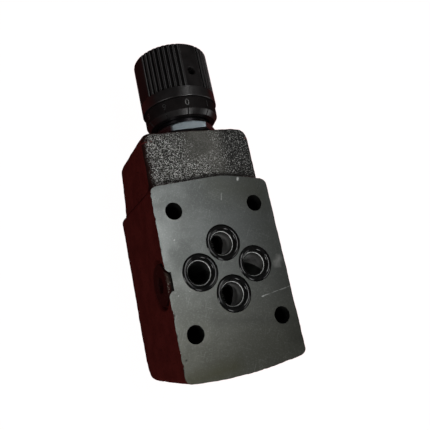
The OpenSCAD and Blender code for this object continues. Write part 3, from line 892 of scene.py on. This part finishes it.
def block_rows():
    """Rows of the block along Y, rounded at its upright corners and far edge, with both ends crowned."""
    length = KNOB_END - FAR_Y
    run = np.concatenate([
        np.linspace(0, CORNER_R, CORNER_ROWS)[:-1],
        np.arange(CORNER_R, length - CORNER_R, ROW_STEP),
        np.linspace(length - CORNER_R, length, CORNER_ROWS),
    ])
    half = SIDE_X - (fillet_drop(run, CORNER_R) + fillet_drop(length - run, CORNER_R))
    low = np.where(run < FAR_EDGE_R, fillet_drop(run, FAR_EDGE_R), -BLANK_PROUD)
    high = np.full_like(run, FACE_Z + BLANK_PROUD)
    x, z = section_rows(half, low, high, BLOCK_EDGE_R, BLOCK_EDGE_R)
    y = FAR_Y + run[:, None] + crown(x) * (1 - ease(run, 0, CROWN_FADE))[:, None]
    y -= crown(x) * (1 - ease(length - run, 0, CROWN_FADE))[:, None]
    return np.stack([x, y, z], axis=-1)


def boss_rows():
    """Rows of the boss along Y: a rising back, a rounded end and a front worn to its left and far edges."""
    out = np.arange(KNOB_END, BOSS_Y - BOSS_CORNER_R, ROW_STEP)
    round_end = np.sin(np.linspace(0, QUARTER, BOSS_CORNER_ROWS))
    out = np.concatenate([out, BOSS_Y - BOSS_CORNER_R * (1 - round_end)])
    to_end = BOSS_Y - out
    half = BOSS_HALF - fillet_drop(to_end, BOSS_CORNER_R)
    high = BOSS_FRONT - fillet_drop(to_end, BOSS_WORN_R)
    slope = BOSS_RISE / (BOSS_Y - KNOB_END)
    low = BOSS_LIFT + slope * (out - KNOB_END) + fillet_drop(to_end, BOSS_HEEL_R)
    x, z = section_rows(half, low, high, BOSS_BACK_R, BOSS_EDGE_R)
    drop = ease(-x, 0, 16) * fillet_drop(to_end, BOSS_WORN_LEFT)[:, None]
    drop = drop + BOSS_LEFT_DROP * ease(-x, BOSS_HALF - 3.4, BOSS_HALF - 0.4)
    z = z - ease(z, BOSS_FRONT - 6, BOSS_FRONT - 1) * drop
    y = np.broadcast_to(out[:, None], x.shape).copy()
    y[0] -= crown(x[0])
    return np.stack([x, y, z], axis=-1)


def casting_blank():
    """Rough blank of the whole casting, with no holes.

    Rounded rectangles carried along Y: the block, a step in to the boss, and both ends drawn in to a
    point. The block stands proud of its two machined faces. Noise of three sizes then pulls the skin in
    along its own normals, and chips the left edge of the port face.
    """
    block = block_rows()
    boss = boss_rows()
    far = shrinking_rows(block[0], (0, FACE_Z / 2), FAR_ROWS)[::-1]
    far[..., 1] = FAR_Y + crown(far[..., 0])
    step = block[-1] + (boss[0] - block[-1]) * np.linspace(0, 1, STEP_ROWS)[1:-1, None, None]
    end = shrinking_rows(boss[-1], (0, AXIS_Z), END_ROWS)
    points = np.concatenate([far, block, step, boss, end])
    across = np.roll(points, -1, axis=1) - np.roll(points, 1, axis=1)
    normal = np.cross(across, np.gradient(points, axis=0))
    normal /= np.maximum(np.linalg.norm(normal, axis=-1, keepdims=True), 1e-9)
    normal *= np.sign((normal * (points - (0, 8, FACE_Z / 2))).sum(-1).mean())
    pulled = SKIN_INSET + sum(a * (1 + lattice_noise(points, cell, seed)) for cell, a, seed in SKIN_LAYERS)
    chipped = ease(-points[..., 0], SIDE_X - 1.0, SIDE_X - 0.3)
    chipped = chipped * ease(points[..., 2], FACE_Z - CHIP_BAND, FACE_Z)
    pulled += CHIP_DEPTH * chipped * np.clip(lattice_noise(points, CHIP_CELL, CHIP_SEED), 0, 1)
    points = points - normal * pulled[..., None]
    return shell("casting", points)


def roof(x):
    """How far the block's knob end stands out past its crown: a tent over X, highest right of the middle."""
    off = np.where(x < ROOF_X, (ROOF_X - x) / ROOF_LEFT, (x - ROOF_X) / ROOF_RIGHT)
    return ROOF_RISE * np.clip(1 - off, 0, 1)


def draw_out_knob_end(mesh):
    """Moves the port face's rim along Y by the roof, faded out on both sides of the step and below it."""
    points = points_of(mesh)
    x, y, z = points.T
    near = ease(y, KNOB_END - 6, KNOB_END - 1.8)
    beyond = ease(y, KNOB_END + 0.5, KNOB_END + 5)
    high = ease(z, BOSS_FRONT - 3, BOSS_FRONT - 0.8)
    points[:, 1] += roof(x) * near * (1 - beyond) * high
    mesh.vertices.foreach_set("co", (points * MM).ravel())
    mesh.update()


def turned_tool(profile, centre, axis):
    """A closed cutting shape: a (radius, station) profile turned about a line along X (0) or Z (2)."""
    radius, station, angle = turned(profile, TOOL_COLUMNS)
    one = centre[0] + radius * np.cos(angle)
    two = centre[1] + radius * np.sin(angle)
    order = (station, one, two) if axis == 0 else (one, two, station)
    return shell("cutter", np.stack(order, axis=-1))


def spot_flare():
    """The worn mouth of the spot face: a quarter ellipse that opens its radius toward the block's side."""
    depth = np.linspace(0, 1, 13)
    radius = SPOT_R - 0.03 + SPOT_FLARE * (1 - np.sqrt(1 - (1 - depth) ** 2))
    curve = np.stack([radius, SPOT_DEPTH * depth - SIDE_X], axis=1)
    outside = [[0, -SIDE_X - 1], [radius[0], -SIDE_X - 1]]
    return turned_tool(np.vstack([outside, curve, [[0, curve[-1, 1]]]]), (SPOT_Y, SPOT_Z), 0)


def port_mouth(centre):
    """A port's broken edge: a narrow bevel at the counterbore's floor, and a shallow cone below it."""
    floor = FACE_Z - SEAL_BORE_DEPTH
    profile = np.array([
        [0, floor - 2 * PORT_MOUTH_LINE],
        [PORT_R - 0.1, floor - 2 * PORT_MOUTH_LINE],
        [PORT_MOUTH_R - PORT_MOUTH_LINE, floor - PORT_MOUTH_LINE],
        [PORT_MOUTH_R, floor],
        [PORT_MOUTH_R + 0.1, floor + 0.1],
        [0, floor + 0.1],
    ])
    return turned_tool(profile, centre, 2)


def from_holes(points, holes):
    """Distance of each point from the axis of the nearest hole."""
    return np.linalg.norm(points[:, None, :2] - holes, axis=2).min(1)


def in_spot_face(points, margin):
    """Whether each point lies in the worn spot face round the side plug, or within a margin of it."""
    from_plug = np.linalg.norm(points[:, 1:] - (SPOT_Y, SPOT_Z), axis=1)
    return (from_plug < SPOT_R + SPOT_FLARE + margin) & (points[:, 0] < SPOT_FLOOR_X + 0.1)


def casting_zones(centres, facing, flat):
    """Which finish each face of the casting takes.

    0 rough side, 1 rough front, 2 ground face, 3 hole's broken edge, 4 oily counterbore or bolt hole,
    5 port wall.
    """
    slack = 0.02
    zone = (facing[:, 2] > 0.85).astype(np.int32)
    from_port = from_holes(centres, PORTS)
    from_bolt = from_holes(centres, BOLTS)
    below = FACE_Z - SEAL_BORE_DEPTH - centres[:, 2]
    zone[in_spot_face(centres, 0)] = 0
    inside = (centres[:, 1] > FAR_Y + 3) & (centres[:, 1] < BOSS_Y - 0.3)
    zone[(radius_of(centres) < THREAD_R + 1.0) & inside & (below > 0.1)] = 4
    zone[(from_bolt < BOLT_R + slack) | ((from_port < SEAL_BORE_R + slack) & (below < slack))] = 4
    zone[(from_port < PORT_R + slack) & (below > 0)] = 5
    mouth = (from_port < PORT_MOUTH_R) & (below > 0.005)
    zone[mouth & (below < 2 * PORT_MOUTH_LINE)] = 4
    zone[mouth & (below < PORT_MOUTH_LINE)] = 3
    zone[flat] = 2
    return zone


def store_casting_values(mesh):
    """Keeps on the casting what its finish reads: front, turn, sparkle and the painted shade under the step.
    """
    points = points_of(mesh)
    x, y, z = points.T
    # front also picks the front's grey over the sides' painted maroon reflection
    up = np.where(in_spot_face(points, 0.5), 0, read(mesh.vertex_normals, "vector")[:, 2])
    up *= ease(z, BOSS_FRONT - 7, BOSS_FRONT - 5.5)
    store(mesh, "front", ease(up, 0.7, 0.97))
    # turn: the rounded edges round the front, darkened by painted shade
    store(mesh, "turn", ease(up, 0.22, 0.4) * (1 - ease(up, 0.88, 0.985)))
    wavy_x = x + 3 * lattice_noise(points, 3.5, 31)
    wavy_y = y + 3 * lattice_noise(points, 3.5, 32)
    # Sparkle fades to the right, as smoother skin and as painted shade there, and in a patch up the middle
    right = ease(wavy_x, 3, 8)
    smooth = ease(wavy_x, -12, -3) * (1 - right) * ease(wavy_y, 34, 43)
    store(mesh, "sparkle", (1 - 0.86 * smooth) * (1 - 0.80 * right))
    # Painted shade: the corner under the step, near the boss's front
    step_y = KNOB_END - crown(x) + roof(x)
    step_shade = ease(step_y + 2.4 - y, 0, 1.6) * (y > step_y - 0.1)
    store(mesh, "step_shade", step_shade * ease(z, BOSS_FRONT - 5, BOSS_FRONT - 2))


def build_casting():
    """The casting: the rough blank cut down to the solid, so its faces and holes are the machined ones."""
    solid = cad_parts["valve_body"].data.copy()
    merge_doubles(solid)
    mesh = carve(casting_blank(), solid, "INTERSECT")
    mesh = carve(mesh, spot_flare(), "DIFFERENCE")
    for centre in PORTS:
        mesh = carve(mesh, port_mouth(centre), "DIFFERENCE")
    draw_out_knob_end(mesh)
    mesh.materials.clear()
    store_casting_values(mesh)
    centres = centres_of(mesh)
    flat = (centres[:, 2] > FACE_Z - 0.005) | (centres[:, 2] < 0.005)
    zone = casting_zones(centres, read(mesh.polygons, "normal"), flat)
    finishes = (CAST_SIDES, CAST_FRONT, GROUND_IRON, BARE_IRON, OILED_IRON, DRILLED_IRON)
    place("casting", mesh, finishes, "housing", ("valve_body",), crease=40)
    mesh.polygons.foreach_set("material_index", zone)
    mesh.polygons.foreach_set("use_smooth", ~flat)


# Turned and moulded pieces
FINE_COLUMNS = 1440
SLEEVE_COLUMNS = 360
PLUG_COLUMNS = 180
HOLE_COLUMNS = 64
FIGURE_SIZE = 3.4
FIGURE_HALF_THICK = 0.06
PAINT_KEPT_AT_ZERO = 1.0
PAINT_KEPT_ELSEWHERE = 0.12


def groove_side(angle):
    """Distance round the knob from the middle of the nearest groove; the grooves stand in four groups."""
    off = from_nearest(angle, PANEL_TURN + QUARTER / 2, QUARTER)
    number = np.clip(np.round(off / GROOVE_PITCH + (GROOVES - 1) / 2), 0, GROOVES - 1)
    return KNOB_R * np.sin(off - (number - (GROOVES - 1) / 2) * GROOVE_PITCH)


def groove_depth(angle):
    """Depth of the knob's grooves at an angle: round-bottomed grooves in four groups between the panels."""
    side = groove_side(angle)
    depth = np.sqrt(np.clip(GROOVE_R**2 - side**2, 0, None))
    return np.where(depth > 0, depth + GROOVE_R / 3, 0) * ease(GROOVE_R - np.abs(side), 0, 0.22)


def ribbed(angle, radius, station):
    """Radius of the knob: its profile, cut by grooves and four flat panels above the smooth band."""
    panel = math.sqrt(KNOB_R**2 - PANEL_HALF**2)
    off = from_nearest(angle, PANEL_TURN, QUARTER)
    cut = soft_min(KNOB_R - groove_depth(angle), panel / np.cos(off), 0.06)
    above = ease(station, BAND_Y - 0.12, BAND_Y + 0.12)
    outside = radius > HUB_BORE_R + 8.5
    limit = KNOB_R + (cut - KNOB_R) * above
    return np.where(outside & (above > 0), np.minimum(radius, limit), radius)


def knob_zones(points):
    """Depth below the knob's full radius, whether a point is among the ribs, and whether it is on a panel."""
    depth = KNOB_R - radius_of(points)
    ribs = (points[:, 1] > BAND_Y + 0.1) & (points[:, 1] < KNOB_Y1 - KNOB_LIP)
    on_panel = np.abs(from_nearest(angle_of(points), PANEL_TURN, QUARTER)) * KNOB_R < PANEL_HALF
    return depth, ribs, on_panel


def screw_hole():
    """The set screw's hole as a closed drum, from the hub bore out through the middle of one panel."""
    drum = rounded_profile([
        (0, HUB_BORE_R - 1, 0),
        (SCREW_R, HUB_BORE_R - 1, 0),
        (SCREW_R, KNOB_R - 0.6, 0),
        (SCREW_R + 0.9, KNOB_R + 0.3, 0),
        (0, KNOB_R + 0.3, 0),
    ])
    radius, out, angle = turned(drum, HOLE_COLUMNS)
    side = radius * np.cos(angle)
    along = (SCREW_LOW[1] + SCREW_HIGH[1]) / 2 + radius * np.sin(angle)
    x = out * math.sin(PANEL_TURN) + side * math.cos(PANEL_TURN)
    z = AXIS_Z + out * math.cos(PANEL_TURN) - side * math.sin(PANEL_TURN)
    return shell("screw_hole", np.stack([x, along, z], axis=-1))


def build_knob():
    """The knob: a closed moulding with ribs, band, rounded end and a hollow foot, then the screw's hole.

    Its finishes: 0 satin foot and band, 1 matt panels, 2 crests, 3 worn edges, 4 shaded grooves and end.
    """
    low = [
        (0, KNOB_Y1 - KNOB_TOP, 0),
        (HUB_BORE_R, KNOB_Y1 - KNOB_TOP, 0),
        (HUB_BORE_R, HUB_Y0, 0),
        (RING_BORE_R, HUB_Y0, 0),
        (RING_BORE_R, KNOB_Y0 + SPIGOT_H, 0),
        (SPIGOT_R, KNOB_Y0 + SPIGOT_H, 0),
        (SPIGOT_R, KNOB_Y0, 0),
        (KNOB_R, KNOB_Y0, 0.25),
        (KNOB_R, BAND_Y - 0.3, 0),
    ]
    shoulder = np.stack([np.full(9, KNOB_R), np.linspace(BAND_Y - 0.16, BAND_Y + 0.16, 9)], axis=1)
    top = rounded_profile([(KNOB_R, BAND_Y + 0.4, 0), (KNOB_R, KNOB_Y1, KNOB_EDGE_R), (0, KNOB_Y1, 0)], 10)
    mesh = turned_shell("knob", np.vstack([rounded_profile(low), shoulder, top]), FINE_COLUMNS, ribbed)
    mesh = carve(mesh, screw_hole(), "DIFFERENCE")
    mesh.materials.clear()
    at = points_of(mesh)
    depth, ribs, on_panel = knob_zones(at)
    from_edge = np.abs(np.abs(groove_side(angle_of(at))) - GROOVE_R)
    # Grooves darkened as painted shade; rib edges lightened for wear and as painted highlight
    store(mesh, "low", ease(depth, 0.08, 0.4) * ribs * ~on_panel)
    store(mesh, "rubbed", (1 - ease(from_edge, 0.04, 0.2)) * ribs * ~on_panel * (depth < RIB_EDGE))
    finishes = (MOULDING_SATIN, MOULDING_MATT, MOULDING_CREST, MOULDING_WORN, MOULDING_SHADED)
    place("ribbed_knob", mesh, finishes, "adjuster", ("knob",))
    centres = centres_of(mesh)
    depth, ribs, on_panel = knob_zones(centres)
    at_end = centres[:, 1] > KNOB_Y1 - KNOB_LIP
    zone = np.select([at_end, ~ribs, on_panel, depth < CREST_DEPTH, depth < RIB_EDGE], [4, 0, 1, 2, 3], 4)
    mesh.polygons.foreach_set("material_index", zone.astype(np.int32))


def from_mark(angle):
    """Distance round the scale ring from the nearest mark."""
    return np.abs(from_nearest(angle, SCALE_TURN, SCALE_PITCH)) * RING_R


def scale_cut(angle, radius, station):
    """Radius of the scale ring: its profile, with a narrow V cut into the bevel at each mark."""
    on_bevel = ease(BEVEL_Y + 0.25 - station, 0, 0.2) * (radius > RING_BORE_R + 0.4)
    return radius - MARK_DEPTH * ease(MARK_HALF - from_mark(angle), 0, MARK_HALF) * on_bevel


def build_scale_ring():
    """The scale ring, with ten cut marks on its bevel and a shaded outside above it."""
    top = KNOB_Y0 - 0.05
    inner_y = KNOB_Y0 + SPIGOT_H - 0.2
    profile = rounded_profile([
        (RING_BORE_R, inner_y, 0),
        (RING_BORE_R, RING_Y0, 0.15),
        (RING_R - BEVEL_IN, RING_Y0, 0.15),
        (RING_R, BEVEL_Y, 0.3),
        (RING_R, top, 0.2),
        (SPIGOT_R - 0.05, top, 0),
        (SPIGOT_R - 0.05, inner_y, 0),
        (RING_BORE_R, inner_y, 0),
    ])
    mesh = turned_shell("bevelled_scale_ring", profile, FINE_COLUMNS, scale_cut)
    finishes = (MOULDING_BEVEL, MOULDING_SHADED)
    place("bevelled_scale_ring", mesh, finishes, "adjuster", ("scale_ring",))
    at = points_of(mesh)
    # Cut marks on the bevel darkened as painted shade
    store(mesh, "low", (from_mark(angle_of(at)) < MARK_HALF - 0.01) & (at[:, 1] < BEVEL_Y + 0.2))
    above = centres_of(mesh)[:, 1] > BEVEL_Y - 0.05
    mesh.polygons.foreach_set("material_index", above.astype(np.int32))


def build_scale_numbers():
    """Numbers 0 to 9, thin raised figures laid round the ring: across becomes angle, up becomes station."""
    middle = (BEVEL_Y + KNOB_Y0) / 2
    all_points, all_faces, count = [], [], 0
    for figure in range(SCALE_MARKS):
        outline = bpy.data.curves.new("figure", "FONT")
        outline.body = str(figure)
        outline.size = FIGURE_SIZE
        outline.align_x = "CENTER"
        outline.extrude = FIGURE_HALF_THICK
        outline.resolution_u = 4
        sample = add_object("figure", outline)
        flat = final_mesh(sample)
        bpy.data.objects.remove(sample)
        at = read(flat.vertices, "co")
        up = at[:, 1] - (at[:, 1].min() + at[:, 1].max()) / 2
        angle = SCALE_TURN + figure * SCALE_PITCH + at[:, 0] / RING_R
        all_points.append(on_valve_axis(RING_R + at[:, 2], middle + up, angle))
        flat.calc_loop_triangles()
        triangles = np.empty(len(flat.loop_triangles) * 3, np.int32)
        flat.loop_triangles.foreach_get("vertices", triangles)
        all_faces.append(triangles.reshape(-1, 3) + count)
        count += len(at)
    mesh = mesh_from_arrays("scale_numbers", np.vstack(all_points), np.vstack(all_faces))
    from_zero = from_nearest(angle_of(points_of(mesh)), SCALE_TURN, TURN)
    at_zero = np.abs(from_zero) < SCALE_PITCH / 2
    store(mesh, "kept", np.where(at_zero, PAINT_KEPT_AT_ZERO, PAINT_KEPT_ELSEWHERE))
    place("scale_numbers", mesh, (WORN_PAINT,), "adjuster", ())


def hex_headed(angle, radius, station):
    """Radius of the sleeve: hexagonal with a 30 degree chamfer along the head, round elsewhere."""
    head = (radius > NECK_R + 0.5) & (station >= BOSS_Y - 0.001)
    chamfer = HEX_HALF + (HEX_TOP - station) / math.tan(math.radians(30)) - 0.1
    cut = soft_min(hexagon_radius(angle, HEX_HALF, HEX_TURN, 0.5), chamfer, 0.12)
    return np.where(head, np.minimum(cut, radius), radius)


def build_sleeve():
    """The adjuster sleeve: threaded shank, seal groove, hexagon and neck, with its stepped bore."""
    corner = HEX_HALF / math.cos(math.pi / 6) + 1
    low = rounded_profile([
        (SPINDLE_BORE_R, SLEEVE_HIGH[1], 0),
        (SPINDLE_BORE_R, SLEEVE_ROOF, 0),
        (SLEEVE_BORE_R, SLEEVE_ROOF, 0),
        (SLEEVE_BORE_R, SLEEVE_LOW[1], 0),
        (THREAD_R, SLEEVE_LOW[1], 0.5),
        (THREAD_R, SEAL_GROOVE_Y, 0),
        (SEAL_GROOVE_R, SEAL_GROOVE_Y, 0),
        (SEAL_GROOVE_R, BOSS_Y, 0),
        (HEX_HALF - 0.6, BOSS_Y, 0),
    ])
    head = np.stack([np.full(16, corner), np.linspace(BOSS_Y, HEX_TOP - 0.02, 16)], axis=1)
    top = rounded_profile([
        (HEX_HALF - 0.5, HEX_TOP, 0),
        (NECK_R, HEX_TOP, 0.3),
        (NECK_R, SLEEVE_HIGH[1], 0.5),
        (SPINDLE_BORE_R, SLEEVE_HIGH[1], 0),
    ])
    mesh = turned_shell("zinc_sleeve", np.vstack([low, head, top]), SLEEVE_COLUMNS, hex_headed)
    place("zinc_sleeve", mesh, (ZINC_PLATE,), "housing", ("adjuster_sleeve",))
    at = points_of(mesh)
    # Painted shade: dark on the hexagon's flats other than the front one, and on the neck above the hexagon
    film = 0.7 * ease(np.abs(angle_of(at) - HEX_TURN), math.radians(30.5), math.radians(34))
    store(mesh, "painted_shade", np.maximum(film, ease(at[:, 1], HEX_TOP - 0.1, HEX_TOP + 0.3)))


# Port seals, side plug and spring
def build_port_seals():
    """O-rings of the port face: round sections carried round each counterbore, standing a little proud."""
    around = full_turn(128).T
    section = full_turn(40)
    for node in PORT_RINGS:
        low, high = box_mm(node)
        centre = (low + high) / 2
        radius = (high[0] - low[0]) / 2 - SEAL_SECTION_R + SEAL_SECTION_R * np.cos(section)
        height = FACE_Z + SEAL_PROUD - SEAL_SECTION_R + SEAL_SECTION_R * np.sin(section) + 0 * around
        x = centre[0] + radius * np.cos(around)
        y = centre[1] + radius * np.sin(around)
        points = np.stack([x, y, height], axis=-1)
        points = np.vstack([points, points[:1]])
        mesh = shell(node, points)
        place("o_ring_" + node[-1], mesh, (NITRILE,), "housing", (node,))


def build_side_plug():
    """The side plug: a chamfered flange with a hexagon socket, turned about its own axis across the block."""
    socket_half = 2.5
    thread_r = 4.8
    face_x = PLUG_LOW[0]
    socket_x = face_x + 3.5
    profile = rounded_profile([
        (0, socket_x, 0),
        (socket_half, socket_x, 0),
        (socket_half, face_x + 0.4, 0),
        (socket_half + 0.5, face_x, 0.1),
        (FLANGE_R, face_x, 0.35),
        (FLANGE_R, SPOT_FLOOR_X, 0.1),
        (thread_r, SPOT_FLOOR_X, 0),
        (thread_r, PLUG_HIGH[0], 0.4),
        (0, PLUG_HIGH[0], 0),
    ])
    radius, station, angle = turned(profile, PLUG_COLUMNS)
    socket = (radius > 0) & (radius < socket_half + 0.1)
    radius = np.where(socket, hexagon_radius(angle, socket_half, 0.2, 0.15), radius)
    points = np.stack([station, SPOT_Y + radius * np.cos(angle), SPOT_Z + radius * np.sin(angle)], axis=-1)
    mesh = shell("side_plug", points)
    place("socket_plug", mesh, (BLACK_STEEL,), "housing", ("side_plug",))


def build_main_spring():
    """The set spring: a round wire carried along a helix, with one closed turn at each end.

    It is two lengths of wire, a lower and an upper one, that meet at mid-height.
    """
    wire_r = 0.9
    coil_r = (SPRING_HIGH[0] - SPRING_LOW[0]) / 2 - wire_r
    length = SPRING_HIGH[1] - SPRING_LOW[1] - 2 * wire_r
    closed = 2 * wire_r + 0.1
    working = 3
    turns = working + 2
    section = full_turn(16)
    stations = (SPRING_LOW[1], (SPRING_LOW[1] + SPRING_HIGH[1]) / 2, SPRING_HIGH[1])
    low, middle, high = (Vector((0, y, AXIS_Z)) * MM for y in stations)
    halves = (
        ("set_spring_lower", 0, turns / 2, ("spool", "housing", low, middle), ("main_spring",)),
        ("set_spring_upper", turns / 2, turns, ("housing", "spring_seat", middle, high), ()),
    )
    for name, first, last, motion, stands_for in halves:
        t = np.linspace(first, last, turns * 24 + 1)
        t = np.concatenate([t[:1], t, t[-1:]])[:, None]
        climb = np.interp(t, [0, 1, working + 1, turns], [0, closed, length - closed, length])
        wire = np.full_like(t, wire_r)
        wire[[0, -1]] = 0
        radius = coil_r + wire * np.cos(section)
        station = SPRING_LOW[1] + wire_r + climb + wire * np.sin(section)
        points = on_valve_axis(radius, station, QUARTER - TURN * t)
        mesh = shell(name, points)
        piece = place(name, mesh, (BRIGHT_STEEL,), None, stands_for)
        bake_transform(piece)


def dress_inner_nodes():
    """Materials of the solids that keep their own shape."""
    plates = ("lower_spring_plate", "upper_spring_plate")
    finishes = {
        NITRILE: ("side_plug_seal", "sleeve_seal", "spindle_seal"),
        PTFE: ("spindle_backup_ring",),
        BRIGHT_STEEL: ("control_spool", *plates, "thrust_ball", "spindle", "set_screw"),
    }
    for material, nodes in finishes.items():
        for node in nodes:
            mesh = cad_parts[node].data
            mesh.materials.clear()
            mesh.materials.append(material)


build_casting()
build_port_seals()
build_side_plug()
build_main_spring()
build_sleeve()
build_scale_ring()
build_scale_numbers()
build_knob()
dress_inner_nodes()

# Floor, light and camera
FLOOR_HALF = 3000.0
FLOOR_GAP = 0.02
SKY_SEEN = 1.0
SKY_FELT = 0.05
CAMERA_SPOT = (-72.08, -14.45, 183.89)
CAMERA_AIM = (-0.87, 18.57, 40.0)
CAMERA_ROLL = math.radians(12.12)
CAMERA_LENS = 39.9

# Each lamp's name, place, aim, width, depth and power
LAMPS = (
    ("window", (80, 85, 494), (80, 85, 0), 80, 250, 1.2),
    ("front", (40, -420, 420), (0, 50, 40), 160, 160, 0.9),
    ("left", (-500, -150, 300), (0, 20, 30), 180, 140, 1.31),
    ("right", (430, -200, 110), (0, 10, 25), 260, 180, 0.5),
)


def lay_floor():
    """A plain square floor under the back face."""
    corners = np.array([[-1, -1, 0], [1, -1, 0], [1, 1, 0], [-1, 1, 0]]) * FLOOR_HALF
    mesh = mesh_from_arrays("floor", corners - (0, 0, FLOOR_GAP), np.array([[0, 1, 2, 3]]))
    mesh.materials.append(PALE_FLOOR)
    floor = add_object("floor", mesh)


def hang_lamp(name, spot, aim, width, depth, power):
    """A soft rectangular lamp at a place in millimetres, facing a point, with its width level."""
    lamp = bpy.data.lights.new(name, "AREA")
    lamp.shape = "RECTANGLE"
    lamp.size = width * MM
    lamp.size_y = depth * MM
    lamp.energy = power
    holder = add_object(name, lamp)
    holder.location = Vector(spot) * MM
    holder.rotation_euler = (Vector(aim) - Vector(spot)).to_track_quat("-Z", "Y").to_euler()


def set_world():
    """Even white surroundings, brighter to the eye than as light on the object."""
    world = bpy.data.worlds.new("studio")
    bpy.context.scene.world = world
    world.use_nodes = True
    recipe = Recipe(world.node_tree)
    backdrop = world.node_tree.nodes["Background"]
    eye = recipe.node("ShaderNodeLightPath").outputs["Is Camera Ray"]
    strength = recipe.node("ShaderNodeMapRange", eye, 0.0, 1.0, SKY_FELT, SKY_SEEN).outputs[0]
    recipe.put(backdrop.inputs["Color"], (1, 1, 1))
    recipe.put(backdrop.inputs["Strength"], strength)


def set_camera():
    """The camera at the place solved from the port pattern, rolled about its line of sight."""
    spot = Vector(CAMERA_SPOT) * MM
    sight = (Vector(CAMERA_AIM) * MM - spot).normalized()
    level = (Vector((0, 1, 0)) - sight * sight.y).normalized()
    up = level * math.cos(CAMERA_ROLL) + sight.cross(level) * math.sin(CAMERA_ROLL)
    right = sight.cross(up)
    data = bpy.data.cameras.new("camera")
    data.sensor_width = 36.0
    data.lens = CAMERA_LENS
    data.clip_start = 0.01
    camera = add_object("camera", data)
    camera.matrix_world = Matrix((right, up, -sight)).transposed().to_4x4()
    camera.location = spot
    bpy.context.scene.camera = camera


lay_floor()
set_world()
for lamp in LAMPS:
    hang_lamp(*lamp)
set_camera()
bpy.context.scene.view_settings.view_transform = "Standard"
